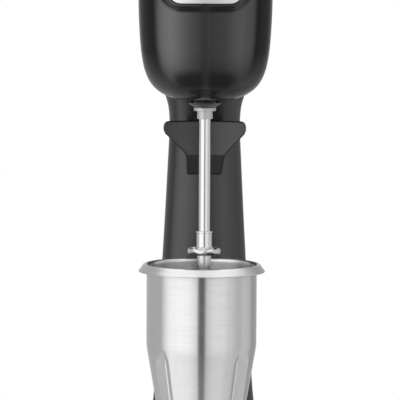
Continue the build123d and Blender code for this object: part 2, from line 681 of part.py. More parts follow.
def sector(inner, outer, half_angle, z0, z1, towards):
    """A ring sector about the spindle axis, centred on +Y (towards 1) or -Y (towards -1)."""
    start, end = math.radians(90 - half_angle), math.radians(90 + half_angle)
    corners = [(radius * math.cos(angle), AXIS_Y + towards * radius * math.sin(angle))
               for radius, angle in ((inner, start), (inner, end), (outer, end), (outer, start))]
    with BuildPart() as solid:
        with BuildSketch(Plane.XY.offset(z0)):
            with BuildLine():
                ThreePointArc(corners[0], (0, AXIS_Y + towards * inner), corners[1])
                Line(corners[1], corners[2])
                ThreePointArc(corners[2], (0, AXIS_Y + towards * outer), corners[3])
                Line(corners[3], corners[0])
            make_face()
        extrude(amount=z1 - z0)
    return solid.part


# each coil is a sector with a window that clears its pole
with BuildPart() as coils:
    for side in (1, -1):
        with BuildPart(mode=Mode.PRIVATE) as coil:
            add(sector(23.6, 29.4, 78, STACK_Z0 - 6.5, STACK_Z1 + 6.5, side))
            add(sector(20.0, 36.0, 52, STACK_Z0 - 0.2, STACK_Z1 + 0.2, side), mode=Mode.SUBTRACT)
        add(coil.part)
save(coils.part, "field_coils")

with BuildPart() as top_bracket:
    with BuildSketch(Plane.XY.offset(BRACKET_Z)):
        with Locations((0, AXIS_Y)):
            Circle(HOUSING_R)
            with Locations(Location((0, 0, 0), 25), Location((0, 0, 0), -25)):
                Rectangle(2 * TIE_R, 9)
        with Locations(*TIES):
            Circle(5.2)
    extrude(amount=3.0)
    # upper bearing housing
    add(rod(HOUSING_R, BRACKET_Z, BRACKET_Z + 9.5))
    add(rod(BEARING_R, TOP_BEARING_Z, BRACKET_Z + 12), mode=Mode.SUBTRACT)
    add(rod(6.0, BRACKET_Z - 2, BRACKET_Z + 4), mode=Mode.SUBTRACT)
    with BuildSketch(Plane.XY.offset(BRACKET_Z - 1)):
        with Locations(*TIES):
            Circle(2.05)
    extrude(amount=6, mode=Mode.SUBTRACT)
save(top_bracket.part, "motor_top_bracket")

# tie bolts with their distance sleeves and nuts
with BuildPart() as ties:
    for x, y in TIES:
        add(rod(2.0, PLATE_Z1, BRACKET_Z + 5.5, x, y))
        add(rod(3.8, PLATE_Z1, STACK_Z0, x, y))
        add(rod(3.8, STACK_Z1, BRACKET_Z, x, y))
        with BuildSketch(Plane.XY.offset(BRACKET_Z + 3.0)):
            with Locations((x, y)):
                RegularPolygon(3.6, 6)
        extrude(amount=2.6)
save(ties.part, "motor_tie_bolts")


def save_bearing(name, z0):
    """Outer ring, inner ring and balls of an 8 x 22 x 7 ball bearing that stands on z0."""
    z1 = z0 + BEARING_H
    middle = (z0 + z1) / 2
    pitch_radius = 7.55
    with BuildPart() as groove:
        with BuildSketch(Plane.XZ):
            with Locations((pitch_radius, middle)):
                Circle(2.06)
        revolve(axis=Axis.Z)
    groove_ring = groove.part.moved(Location((0, AXIS_Y, 0)))
    for ring_name, inner, outer in (("outer", 9.2, BEARING_R), ("inner", MOTOR_SHAFT_R, 5.9)):
        with BuildPart() as ring:
            add(tube(inner, outer, z0, z1))
            add(groove_ring, mode=Mode.SUBTRACT)
        save(ring.part, f"{name}_{ring_name}_ring")
    with BuildPart() as balls:
        with Locations((0, AXIS_Y, middle)):
            with PolarLocations(pitch_radius, 8):
                Sphere(2.0)
    save(balls.part, f"{name}_balls")


save_bearing("lower_bearing", LOW_BEARING_Z)
save_bearing("upper_bearing", TOP_BEARING_Z)

with BuildPart() as holders:
    for side in (1, -1):
        add(block(side * 12.6, side * 27.0, AXIS_Y - 4.2, AXIS_Y + 4.2,
                  BRUSH_Z - 3.9, BRUSH_Z + 3.9))
        # post up to the top bracket
        add(block(side * 19, side * 25, AXIS_Y - 3, AXIS_Y + 3, BRUSH_Z + 3.9, BRACKET_Z))
    for side in (1, -1):
        add(block(side * 11, side * 26.0, AXIS_Y - 3.1, AXIS_Y + 3.1,
                  BRUSH_Z - 2.8, BRUSH_Z + 2.8), mode=Mode.SUBTRACT)
save(holders.part, "brush_holders")
with BuildPart() as brushes:
    for side in (1, -1):
        add(block(side * 11.1, side * 20.0, AXIS_Y - 3.0, AXIS_Y + 3.0,
                  BRUSH_Z - 2.7, BRUSH_Z + 2.7))
    add(rod(COMMUTATOR_R + 0.05, COMMUTATOR_Z0 - 2, COMMUTATOR_Z1 + 2), mode=Mode.SUBTRACT)
save(brushes.part, "carbon_brushes")
with BuildPart() as brush_springs:
    add(coil_spring(radius=2.0, pitch=1.2, height=4.8, wire_radius=0.25,
                    start=(20.4, AXIS_Y, BRUSH_Z), direction=(1, 0, 0)))
    mirror(about=Plane.YZ)
save(brush_springs.part, "brush_springs")

with BuildPart() as capacitor:
    add(block(-13, 13, 58, 70, 226, 242))
    fillet(capacitor.edges().filter_by(Axis.Z), 1.0)
save(capacitor.part, "suppression_capacitor")


# ================================================================ wiring
def lead(radius, bend_radius, points):
    """A round lead along a polyline with rounded corners."""
    path = FilletPolyline(*points, radius=bend_radius)
    with BuildPart() as wire:
        with BuildSketch(Plane(origin=path @ 0, z_dir=path % 0)):
            Circle(radius)
        sweep(path=path)
    return wire.part


save(Compound(children=[
    # from the cord up to the capacitor's underside
    lead(2.0, 6, [(CORD_X, 74.5, CORD_Z), (CORD_X, 64, CORD_Z), (5, 63, 62), (7, 61.5, 120),
                  (6, 64, 225.9)]),
    # from the capacitor's top, through the neck, to the right side of the head
    lead(1.5, 6, [(-6, 62, 242.1), (-6, 62, 250), (-15, 58, 262), (-15, 53, 300), (-6, 52, 326),
                  (2, 46, 352), (15, 28, 392), (33, 2, 428)]),
    # from beside the microswitch to the left brush holder
    lead(1.5, 4, [(0.5, 64, 280), (8.5, 64, 280), (8.5, 58, 292), (8.5, 53, 306), (4.5, 51, 326),
                  (-4, 42, 352), (-12, 20, 388), (-16, 8, 412), (-20, -8, 419),
                  (-20, -29.7, 419)]),
]), "wiring_leads")

# ================================================================ motor, turning parts
SPINDLE_R = 4.8
SPINDLE_TOP = 314.6   # where the spindle meets the motor shaft
SLOTS = 12            # of armature and commutator
WINDING_R = 16.6      # pitch radius of the wound slots

with BuildPart() as motor_shaft:
    add(rod(MOTOR_SHAFT_R, SPINDLE_TOP, BRACKET_Z + 11.5))
    chamfer(motor_shaft.edges().filter_by(GeomType.CIRCLE), 0.4)
save(motor_shaft.part, "motor_shaft")

# fan: hub, disc and ten blades under the disc
with BuildPart() as fan:
    add(tube(MOTOR_SHAFT_R, 8.5, 347.2, 358.8))
    add(tube(8.0, 29.5, 357.2, 358.8))
    with BuildSketch(Plane.XY.offset(350.4)):
        with Locations((0, AXIS_Y)):
            with PolarLocations(18.6, 10):
                Rectangle(21.4, 1.3, rotation=14)
    extrude(amount=7.0)
save(fan.part, "cooling_fan")

with BuildPart() as armature:
    with BuildSketch(Plane.XY.offset(STACK_Z0)):
        with Locations((0, AXIS_Y)):
            Circle(22.0)
            Circle(MOTOR_SHAFT_R, mode=Mode.SUBTRACT)
            with PolarLocations(20.6, SLOTS):
                Rectangle(4.0, 1.6, mode=Mode.SUBTRACT)
            with PolarLocations(WINDING_R, SLOTS):
                Circle(2.4, mode=Mode.SUBTRACT)
    extrude(amount=STACK_Z1 - STACK_Z0)
save(armature.part, "armature_core")

# windings: a bulge above and below the core, joined by bars through its slots
with BuildPart() as windings:
    add(turned([(5.4, STACK_Z1), (19.2, STACK_Z1), (19.8, STACK_Z1 + 3), (17.0, STACK_Z1 + 8),
                (11.5, STACK_Z1 + 9.6), (5.4, STACK_Z1 + 9.6)]))
    add(turned([(5.4, STACK_Z0), (19.2, STACK_Z0), (19.8, STACK_Z0 - 3), (17.0, STACK_Z0 - 6.4),
                (11.5, STACK_Z0 - 7.2), (5.4, STACK_Z0 - 7.2)]))
    with BuildSketch(Plane.XY.offset(STACK_Z0 - 0.2)):
        with Locations((0, AXIS_Y)):
            with PolarLocations(WINDING_R, SLOTS):
                Circle(2.15)
    extrude(amount=STACK_Z1 - STACK_Z0 + 0.4)
save(windings.part, "armature_windings")

with BuildPart() as commutator:
    with BuildSketch(Plane.XY.offset(COMMUTATOR_Z0)):
        with Locations((0, AXIS_Y)):
            Circle(COMMUTATOR_R)
            Circle(MOTOR_SHAFT_R, mode=Mode.SUBTRACT)
            with PolarLocations(10.6, SLOTS):
                Rectangle(1.6, 0.6, mode=Mode.SUBTRACT)
    extrude(amount=COMMUTATOR_Z1 - COMMUTATOR_Z0)
save(commutator.part, "commutator")

# ================================================================ slinger, collar and spindle
GRUB_Z = 316.4
SLEEVE_Z0, SLEEVE_Z1 = 202.6, 216.0
UPPER_Z0, UPPER_Z1 = 196.0, SLEEVE_Z0    # upper agitator
LOWER_Z0, LOWER_Z1 = 153.0, 159.0        # lower agitator
NUT_Z = 148.0
STUD_R = 3.0                             # thin lower end of the spindle

with BuildPart() as slinger:
    with BuildSketch(Plane.XZ):
        with BuildLine():
            Polyline((MOTOR_SHAFT_R, 321.25), (9.5, 321.25), (10.2, 321.8), (13.3, 324.9),
                     (13.6, 325.4), (13.0, 325.7))
            Spline((13.0, 325.7), (9.6, 327.2), (4.9, 328.2), tangents=((-1, 0.28), (-1, 0.1)))
            Polyline((4.9, 328.2), (MOTOR_SHAFT_R, 328.2), (MOTOR_SHAFT_R, 321.25))
        make_face()
    revolve(axis=Axis.Z)
save(slinger.part.moved(Location((0, AXIS_Y, 0))), "splash_slinger")

with BuildPart() as collar:
    add(turned([
        (MOTOR_SHAFT_R, 321.2), (9.0, 321.2), (9.4, 320.8), (9.4, 318.8), (9.0, 318.4),
        (6.6, 318.4), (6.6, 312.0), (6.2, 311.6), (SPINDLE_R, 311.6), (SPINDLE_R, SPINDLE_TOP),
        (MOTOR_SHAFT_R, SPINDLE_TOP),
    ]))
    with BuildSketch(Plane.YZ.offset(0)):
        with Locations((AXIS_Y, GRUB_Z)):
            Circle(1.5)
    extrude(amount=20, both=True, mode=Mode.SUBTRACT)
save(collar.part, "spindle_collar")

with BuildPart() as grubs:
    for side in (1, -1):
        with BuildSketch(Plane.YZ.offset(side * 4.02)):
            with Locations((AXIS_Y, GRUB_Z)):
                Circle(1.48)
        extrude(amount=side * 2.3)
        with BuildSketch(Plane.YZ.offset(side * 6.32)):
            with Locations((AXIS_Y, GRUB_Z)):
                RegularPolygon(0.75, 6)
        extrude(amount=-side * 1.2, mode=Mode.SUBTRACT)
save(grubs.part, "collar_grub_screws")

with BuildPart() as spindle:
    add(rod(SPINDLE_R, SLEEVE_Z0, SPINDLE_TOP))
    add(rod(STUD_R, 146.5, SLEEVE_Z0 + 0.5))
    chamfer(spindle.edges().filter_by(GeomType.CIRCLE).group_by(Axis.Z)[0], 0.5)
save(spindle.part, "spindle_shaft")

save(turned([
    (SPINDLE_R, SLEEVE_Z0), (7.1, SLEEVE_Z0), (6.7, SLEEVE_Z0 + 1.0), (6.5, SLEEVE_Z0 + 2.4),
    (6.6, SLEEVE_Z1 - 1.6), (6.95, SLEEVE_Z1 - 1.2), (6.95, SLEEVE_Z1 - 0.4), (6.6, SLEEVE_Z1),
    (SPINDLE_R, SLEEVE_Z1),
]), "agitator_sleeve")


# ================================================================ agitators
def agitator(z0, z1, groove_depth):
    """A thick disc with a rounded edge, waved by radial grooves above and below."""
    radius, waves, groove_radius = 14.4, 6, 2.6
    middle, half = (z0 + z1) / 2, (z1 - z0) / 2
    top_edge = (radius - half * 1.15, z1 - 0.5)
    with BuildPart() as disc:
        with BuildSketch(Plane.XZ):
            with BuildLine():
                Polyline((STUD_R, z0), (radius - half, z0))
                ThreePointArc((radius - half, z0), (radius, middle), top_edge)
                Polyline(top_edge, (6.4, z1), (STUD_R, z1), (STUD_R, z0))
            make_face()
        revolve(axis=Axis.Z)
        for i in range(waves):
            # the grooves below lie halfway between those above
            for up, z, shift in ((1, z1, 0.0), (-1, z0, 180 / waves)):
                angle = math.radians(360 / waves * i + shift)
                out_x, out_y = math.cos(angle), math.sin(angle)
                with BuildSketch(Plane(origin=(7.4 * out_x, 7.4 * out_y, z),
                                       x_dir=(-out_y, out_x, 0), z_dir=(out_x, out_y, 0))):
                    with Locations((0, up * (groove_radius - groove_depth))):
                        Circle(groove_radius)
                extrude(amount=radius, mode=Mode.SUBTRACT)
    return disc.part.moved(Location((0, AXIS_Y, 0)))


save(agitator(UPPER_Z0, UPPER_Z1, 1.7), "upper_agitator")
save(tube(STUD_R, 5.9, LOWER_Z1, UPPER_Z0), "agitator_spacer")
save(agitator(LOWER_Z0, LOWER_Z1, 1.6), "lower_agitator")
with BuildPart() as nut:
    with BuildSketch(Plane.XY.offset(NUT_Z)):
        with Locations((0, AXIS_Y)):
            RegularPolygon(5.0, 6)
            Circle(STUD_R, mode=Mode.SUBTRACT)
    extrude(amount=LOWER_Z0 - NUT_Z)
save(nut.part, "agitator_nut")

# ================================================================ cup
CUP_R = 46.9
CUP_WALL = 1.0
CUP_INNER_R = CUP_R - CUP_WALL
CUP_X = -2.0          # how far off the spindle axis the loose cup stands
SHOULDER_Z = 122      # the wall is straight above this
WALL_TOP = 184.0      # where the rolled mouth begins
RIM_Z = 188.0


def cup_form(top_z, floor_z, floor_r, foot_middle, foot_end, taper_end, shoulder_middle, wall_r):
    """A solid cup from (radius, z) points: floor, rounded foot, taper, shoulder, straight wall."""
    with BuildPart() as form:
        with BuildSketch(Plane.XZ):
            with BuildLine():
                Polyline((0, top_z), (0, floor_z), (floor_r, floor_z))
                ThreePointArc((floor_r, floor_z), foot_middle, foot_end)
                Polyline(foot_end, taper_end)
                ThreePointArc(taper_end, shoulder_middle, (wall_r, SHOULDER_Z))
                Polyline((wall_r, SHOULDER_Z), (wall_r, top_z), (0, top_z))
            make_face()
        revolve(axis=Axis.Z)
    return form.part


def flute(grow):
    """A round bar along the cup's tapered wall, pressed in from outside, with a ball on top."""
    radius, press = 8.0 + grow, 2.9
    top_r, top_z = 45.6 + 8.0 - press, 110.0
    low_r, low_z = 30.4 + 8.0 - press, SEAT_Z + 7.0
    tilt = math.degrees(math.atan2(top_r - low_r, top_z - low_z))
    length = math.hypot(top_r - low_r, top_z - low_z) + 20
    bar = Cylinder(radius, length, align=(Align.CENTER, Align.CENTER, Align.MAX),
                   mode=Mode.PRIVATE)
    ball = Sphere(radius, mode=Mode.PRIVATE)
    return (bar + ball).rotate(Axis.Y, tilt).moved(Location((top_r, 0, top_z)))


def fluted(form, grow):
    """The cup form with its four flutes pressed in."""
    with BuildPart() as pressed:
        add(form)
        for angle in (45, 135, 225, 315):
            add(flute(grow).rotate(Axis.Z, angle), mode=Mode.SUBTRACT)
    return pressed.part


cup_outside = fluted(cup_form(
    top_z=240, floor_z=SEAT_Z, floor_r=25.6, foot_middle=(28.7, SEAT_Z + 1.4),
    foot_end=(30.0, SEAT_Z + 4.2), taper_end=(46.3, 114.8), shoulder_middle=(46.76, 118.4),
    wall_r=CUP_R), 0)
cup_inside = fluted(cup_form(
    top_z=260, floor_z=SEAT_Z + CUP_WALL, floor_r=25.5, foot_middle=(27.95, SEAT_Z + 2.1),
    foot_end=(29.0, SEAT_Z + 4.35), taper_end=(45.3, 114.95), shoulder_middle=(45.76, 118.5),
    wall_r=CUP_INNER_R), CUP_WALL)

with BuildPart() as cup:
    add(cup_outside)
    add(cup_inside, mode=Mode.SUBTRACT)
    split(bisect_by=Plane.XY.offset(WALL_TOP), keep=Keep.BOTTOM)
    # rolled mouth with a skirt that turns down, which is what hangs on the hook
    with BuildSketch(Plane.XZ):
        with BuildLine():
            Polyline((CUP_INNER_R, 183.8), (CUP_INNER_R, 185.6))
            ThreePointArc((CUP_INNER_R, 185.6), (46.6, 187.2), (48.2, RIM_Z))
            ThreePointArc((48.2, RIM_Z), (49.2, 187.9), (50.0, 187.1))
            Polyline((50.0, 187.1), (53.9, 181.8), (53.1, 181.3), (49.2, 186.4))
            ThreePointArc((49.2, 186.4), (48.1, 186.9), (46.95, 185.4))
            Polyline((46.95, 185.4), (CUP_R, 183.8), (CUP_INNER_R, 183.8))
        make_face()
    revolve(axis=Axis.Z)
# the loose cup stands a little to the left in its seat
save(cup.part.moved(Location((CUP_X, AXIS_Y, 0))), "cup")
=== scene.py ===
"""Milkshake mixer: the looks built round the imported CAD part, in its frame.

It stands on z = 0. The front, with the name plate and the cup, faces -y, and the column
is at the back. +x is to the right seen from the front. Geometry is written in
millimetres and scaled to metres; shaders, materials and lights are in metres.
"""
import bpy
import bmesh
import json
import math
import numpy as np
from mathutils import Matrix, Vector


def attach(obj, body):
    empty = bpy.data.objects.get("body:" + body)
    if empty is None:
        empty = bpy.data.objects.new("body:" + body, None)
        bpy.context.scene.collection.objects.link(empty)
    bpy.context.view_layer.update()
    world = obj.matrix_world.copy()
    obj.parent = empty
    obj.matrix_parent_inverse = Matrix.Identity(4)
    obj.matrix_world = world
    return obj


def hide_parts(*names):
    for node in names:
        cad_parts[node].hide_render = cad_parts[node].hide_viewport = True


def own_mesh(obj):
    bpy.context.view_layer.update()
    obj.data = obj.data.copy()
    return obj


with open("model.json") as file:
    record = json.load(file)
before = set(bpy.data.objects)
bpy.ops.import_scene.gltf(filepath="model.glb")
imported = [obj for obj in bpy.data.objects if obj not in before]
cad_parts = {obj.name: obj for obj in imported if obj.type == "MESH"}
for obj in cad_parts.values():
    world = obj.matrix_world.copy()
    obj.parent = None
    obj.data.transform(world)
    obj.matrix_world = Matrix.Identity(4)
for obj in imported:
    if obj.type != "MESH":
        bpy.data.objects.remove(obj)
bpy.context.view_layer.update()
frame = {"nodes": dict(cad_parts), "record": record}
NODES = frame["nodes"]

MM = 0.001
AXIS_Y = -34.0                      # y of the spindle axis
HEAD_Z = 328.5                      # lowest point of the head's body
HEAD_BACK = 81.0                    # y of the back of the head
CAP_Z = 456.0                       # joint between head shell and cap
NECK_Z = 326.0                      # joint between stand and head
JOINT = 0.15                        # half the gap at the neck
PLATE_W, PLATE_H, PLATE_R, PLATE_Z = 62.4, 27.4, 10.6, 424.6    # name plate, corner radius, centre
SEAT_Z = 15.5                       # the cup's seat in the base
CUP_X = -2.0                        # x of the cup's centre
SENSOR_Z = 288.0                    # height of the sensing button in the cup hook
STEP = 1.7        # grid step of the stand; the head's is a little finer
HOOK_STEP = 0.75
CUP_SEGMENTS = 720
TO_BACK = Matrix.Rotation(math.radians(-90), 4, "X")    # turns +z to +y


# ------------------------------------------------------------------ mesh helpers
def link(obj):
    bpy.context.scene.collection.objects.link(obj)
    return obj


def shade(mesh, smooth_deg=35):
    """Smooth shading, with edges steeper than smooth_deg kept sharp; 0 keeps none sharp."""
    mesh.shade_smooth()
    if smooth_deg:
        mesh.set_sharp_from_angle(angle=math.radians(smooth_deg))


def store(bm, obj, smooth_deg=35):
    """Writes a bmesh to its object with outward normals."""
    bmesh.ops.recalc_face_normals(bm, faces=bm.faces)
    bm.to_mesh(obj.data)
    bm.free()
    shade(obj.data, smooth_deg)


def tidy(obj, smooth_deg=35):
    bm = bmesh.new()
    bm.from_mesh(obj.data)
    store(bm, obj, smooth_deg)
    return obj


def solid(name, verts, faces, smooth_deg=35):
    """A mesh object from vertices in millimetres."""
    mesh = bpy.data.meshes.new(name)
    mesh.from_pydata([tuple(float(c) * MM for c in v) for v in verts], [],
                     [tuple(int(i) for i in f) for f in faces])
    mesh.validate()
    mesh.update()
    return tidy(link(bpy.data.objects.new(name, mesh)), smooth_deg)


def copy_of(obj, name):
    new = obj.copy()
    new.data = obj.data.copy()
    new.name = name
    return link(new)


def round_profile(stations, steps=4):
    """Rounds the corners of an open outline of (r, z, corner radius) stations."""
    out = [stations[0][:2]]
    for before, (*here, radius), after in zip(stations, stations[1:], stations[2:]):
        corner = Vector(here)
        back, ahead = Vector(before[:2]) - corner, Vector(after[:2]) - corner
        if radius <= 0 or back.length < 1e-6 or ahead.length < 1e-6:
            out.append(tuple(corner))
            continue
        cut = min(radius / max(math.tan(back.angle(ahead) / 2), 1e-6),
                  back.length * 0.48, ahead.length * 0.48)
        start, end = corner + back.normalized() * cut, corner + ahead.normalized() * cut
        for k in range(steps + 1):
            u = k / steps
            out.append(tuple(start * (1 - u) ** 2 + corner * 2 * u * (1 - u) + end * u * u))
    out.append(stations[-1][:2])
    return out


def lathe(name, outline, seg=128, cx=0.0, cy=AXIS_Y, smooth_deg=35, shape=None):
    """A turned piece from an (r, z) outline; r = 0 makes a point.

    shape(r, z, angle) may push a vertex.
    """
    verts, faces, rings = [], [], []
    for r, z in outline:
        if r < 1e-6:
            rings.append([len(verts)])
            verts.append((cx, cy, z))
            continue
        rings.append(list(range(len(verts), len(verts) + seg)))
        for k in range(seg):
            angle = 2 * math.pi * k / seg
            rr, zz = shape(r, z, angle) if shape else (r, z)
            verts.append((cx + rr * math.cos(angle), cy + rr * math.sin(angle), zz))
    for low, high in zip(rings, rings[1:]):
        if len(low) == 1 and len(high) == 1:
            continue
        for k in range(seg):
            k1 = (k + 1) % seg
            if len(low) == 1:
                faces.append((low[0], high[k1], high[k]))
            elif len(high) == 1:
                faces.append((low[k], low[k1], high[0]))
            else:
                faces.append((low[k], low[k1], high[k1], high[k]))
    return solid(name, verts, faces, smooth_deg)


def boolean(obj, cutter, operation="DIFFERENCE"):
    """Applies a boolean and removes the cutter."""
    mod = obj.modifiers.new("cut", "BOOLEAN")
    mod.operation, mod.solver, mod.object = operation, "EXACT", cutter
    graph = bpy.context.evaluated_depsgraph_get()
    mesh = bpy.data.meshes.new_from_object(obj.evaluated_get(graph))
    obj.modifiers.clear()
    old, obj.data = obj.data, mesh
    bpy.data.meshes.remove(old)
    shade(mesh)
    cutter_mesh = cutter.data
    bpy.data.objects.remove(cutter)
    bpy.data.meshes.remove(cutter_mesh)


def place(obj, turn, position):
    """Turns a mesh about the origin, then moves it by a vector in millimetres."""
    obj.data.transform(turn)
    obj.data.transform(Matrix.Translation([c * MM for c in position]))


def drill(obj, radius, depth, seg, start, turn):
    """Bores a round hole; turn takes +z to the boring direction."""
    bit = lathe("cut", [(0, 0), (radius, 0), (radius, depth), (0, depth)], seg, cx=0, cy=0)
    place(bit, turn, start)
    boolean(obj, bit)


def prism(name, outline, start, end, axis="y"):
    """A straight prism; axis y: outline is (x, z), axis x: outline is (y, z)."""
    n = len(outline)

    def at(u, v, along):
        return (u, along, v) if axis == "y" else (along, u, v)

    verts = [at(u, v, along) for along in (start, end) for u, v in outline]
    faces = [tuple(range(n)), tuple(range(2 * n - 1, n - 1, -1))]
    faces += [(i, (i + 1) % n, n + (i + 1) % n, n + i) for i in range(n)]
    return solid(name, verts, faces, 30)


def rounded_rect(w, h, r, cx, cz, n):
    """Rounded rectangle outline, anticlockwise, with n steps to a corner."""
    out = []
    for sx, sz, first in ((1, 1, 0), (-1, 1, 90), (-1, -1, 180), (1, -1, 270)):
        for k in range(n + 1):
            a = math.radians(first + 90 * k / n)
            out.append((cx + sx * (w / 2 - r) + r * math.cos(a),
                        cz + sz * (h / 2 - r) + r * math.sin(a)))
    return out


def cubic(xs, ys, at, clamp=(None, None)):
    """Cubic spline through (xs, ys), natural or with clamped end slopes, read at at."""
    xs, ys, at = (np.asarray(values, float) for values in (xs, ys, at))
    n = len(xs)
    h = np.diff(xs)
    rise = np.diff(ys) / h
    matrix, right = np.zeros((n, n)), np.zeros(n)
    for i in range(1, n - 1):
        matrix[i, i - 1:i + 2] = h[i - 1], 2 * (h[i - 1] + h[i]), h[i]
        right[i] = 6 * (rise[i] - rise[i - 1])
    if clamp[0] is None:
        matrix[0, 0] = 1
    else:
        matrix[0, 0], matrix[0, 1], right[0] = 2 * h[0], h[0], 6 * (rise[0] - clamp[0])
    if clamp[1] is None:
        matrix[-1, -1] = 1
    else:
        matrix[-1, -1], matrix[-1, -2] = 2 * h[-1], h[-1]
        right[-1] = 6 * (clamp[1] - rise[-1])
    bend = np.linalg.solve(matrix, right)
    i = np.clip(np.searchsorted(xs, at) - 1, 0, n - 2)
    t = at - xs[i]
    slope = rise[i] - h[i] * (2 * bend[i] + bend[i + 1]) / 6
    return ys[i] + t * (slope + t * (bend[i] / 2 + t * (bend[i + 1] - bend[i]) / (6 * h[i])))


def read_table(table, u):
    """An evenly spaced table read at fractional index u, by Catmull-Rom."""
    i = np.clip(u.astype(int), 1, len(table) - 3)
    w = u - i
    p0, p1, p2, p3 = (table[i + k] for k in (-1, 0, 1, 2))
    third = 3 * (p1 - p2) + p3 - p0
    return p1 + 0.5 * w * (p2 - p0 + w * (2 * p0 - 5 * p1 + 4 * p2 - p3 + w * third))


# ------------------------------------------------------------------ solids from fields
def slice_mesh(obj, cuts):
    """Keeps the side each (point in mm, normal) points away from, and closes the cut."""
    bm = bmesh.new()
    bm.from_mesh(obj.data)
    for point, normal in cuts:
        geom = list(bm.verts) + list(bm.edges) + list(bm.faces)
        cut = bmesh.ops.bisect_plane(bm, geom=geom, dist=1e-7, plane_co=Vector(point) * MM,
                                     plane_no=Vector(normal), clear_outer=True)
        edges = [g for g in cut["geom_cut"] if isinstance(g, bmesh.types.BMEdge)]
        edges = [g for g in edges if g.is_valid and g.is_boundary]
        if edges:
            bmesh.ops.holes_fill(bm, edges=edges, sides=0)
    store(bm, obj)


def net(name, field, lo, hi, step, cuts=()):
    """The zero surface of field(x, y, z), negative inside, as quads slid onto the surface."""
    lo, hi = np.array(lo, float), np.array(hi, float)
    n = np.ceil((hi - lo) / step).astype(int) + 1
    axes = [lo[i] + step * np.arange(n[i]) for i in range(3)]
    values = field(*np.meshgrid(*axes, indexing="ij"))
    inside = values < 0

    # cells that hold some surface get one vertex each
    corners = np.zeros(n - 1, np.int8)
    for dx, dy, dz in np.ndindex(2, 2, 2):
        corners += inside[dx:n[0] - 1 + dx, dy:n[1] - 1 + dy, dz:n[2] - 1 + dz]
    active = (corners > 0) & (corners < 8)
    ids = -np.ones(n - 1, np.int64)
    where = np.argwhere(active)
    ids[active] = np.arange(len(where))

    # the vertex starts at the mean of the crossings on the cell's edges
    total, count = np.zeros((len(where), 3)), np.zeros(len(where))
    for d in range(3):
        rest = [k for k in range(3) if k != d]
        for sides in np.ndindex(2, 2):
            offset = [0, 0, 0]
            offset[rest[0]], offset[rest[1]] = sides
            start = where + offset
            end = start.copy()
            end[:, d] += 1
            a, b = values[tuple(start.T)], values[tuple(end.T)]
            hit = (a < 0) != (b < 0)
            t = np.where(hit, a / np.where(hit, a - b, 1), 0)
            crossing = lo + step * (start + 0.0)
            crossing[:, d] += step * t
            total += np.where(hit[:, None], crossing, 0)
            count += hit
    points = total / count[:, None]

    # Newton steps down the gradient, limited to part of a cell
    reach = 0.02
    nudges = np.eye(3) * reach
    for _ in range(4):
        value = field(*points.T)
        grad = np.stack([(field(*(points + nudge).T) - field(*(points - nudge).T)) / (2 * reach)
                         for nudge in nudges], 1)
        move = grad * (value / np.maximum((grad * grad).sum(1), 1e-6))[:, None]
        length = np.linalg.norm(move, axis=1)
        move *= np.minimum(1, 0.8 * step / np.maximum(length, 1e-9))[:, None]
        points = points - move

    # one quad across each grid edge that the surface crosses
    quads = []
    for d in range(3):
        a = inside.take(range(n[d] - 1), d)
        b = inside.take(range(1, n[d]), d)
        r0, r1 = [k for k in range(3) if k != d]
        for leaving, crossed in ((False, a & ~b), (True, ~a & b)):
            idx = np.argwhere(crossed)
            idx = idx[(idx[:, r0] > 0) & (idx[:, r1] > 0)
                      & (idx[:, r0] < n[r0] - 1) & (idx[:, r1] < n[r1] - 1)]
            around = []
            for s0, s1 in ((-1, -1), (0, -1), (0, 0), (-1, 0)):
                cell = idx.copy()
                cell[:, r0] += s0
                cell[:, r1] += s1
                around.append(ids[tuple(cell.T)])
            quad = np.stack(around, 1)
            turned_over = leaving if d != 1 else not leaving
            quads.append(quad[:, ::-1] if turned_over else quad)
    quads = np.concatenate(quads)

    mesh = bpy.data.meshes.new(name)
    mesh.vertices.add(len(points))
    mesh.vertices.foreach_set("co", (points * MM).astype(np.float32).ravel())
    mesh.loops.add(len(quads) * 4)
    mesh.loops.foreach_set("vertex_index", quads.astype(np.int32).ravel())
    mesh.polygons.add(len(quads))
    mesh.polygons.foreach_set("loop_start", np.arange(0, len(quads) * 4, 4, dtype=np.int32))
    mesh.polygons.foreach_set("loop_total", np.full(len(quads), 4, dtype=np.int32))
    mesh.update(calc_edges=True)
    mesh.validate()
    obj = link(bpy.data.objects.new(name, mesh))
    if cuts:
        slice_mesh(obj, cuts)
    else:
        tidy(obj)
    return obj


def smin(a, b, k):
    """Union of two fields with a fillet of about k."""
    h = np.clip(0.5 + 0.5 * (b - a) / k, 0, 1)
    return b * (1 - h) + a * h - k * h * (1 - h)


def smax(a, b, k):
    """Intersection of two fields with a rounding of about k."""
    return -smin(-a, -b, k)


# Head outline, front half: (radius from the spindle axis, height above HEAD_Z)
HEAD_PTS = np.array([
    (0, 0), (20, 0.15), (28, 1.0), (33.5, 3.0), (38.2, 5.8), (41.5, 8.3), (45.1, 12.1),
    (47.9, 16.4), (51.3, 24.6), (53.25, 33), (54.5, 41.5), (55.6, 54), (56.3, 67),
    (56.8, 84), (56.7, 98), (55.6, 114), (52.4, 131), (46.5, 144), (37.5, 153),
    (25, 158.8), (12, 161.1), (0, 161.5)], float)
HEAD_CENTRE = 84.0                  # height above HEAD_Z from which the outline is read
HEAD_STRETCH = (HEAD_BACK - AXIS_Y) / HEAD_PTS[:, 0].max()      # the back half is drawn out
HEAD_STEPS = 720


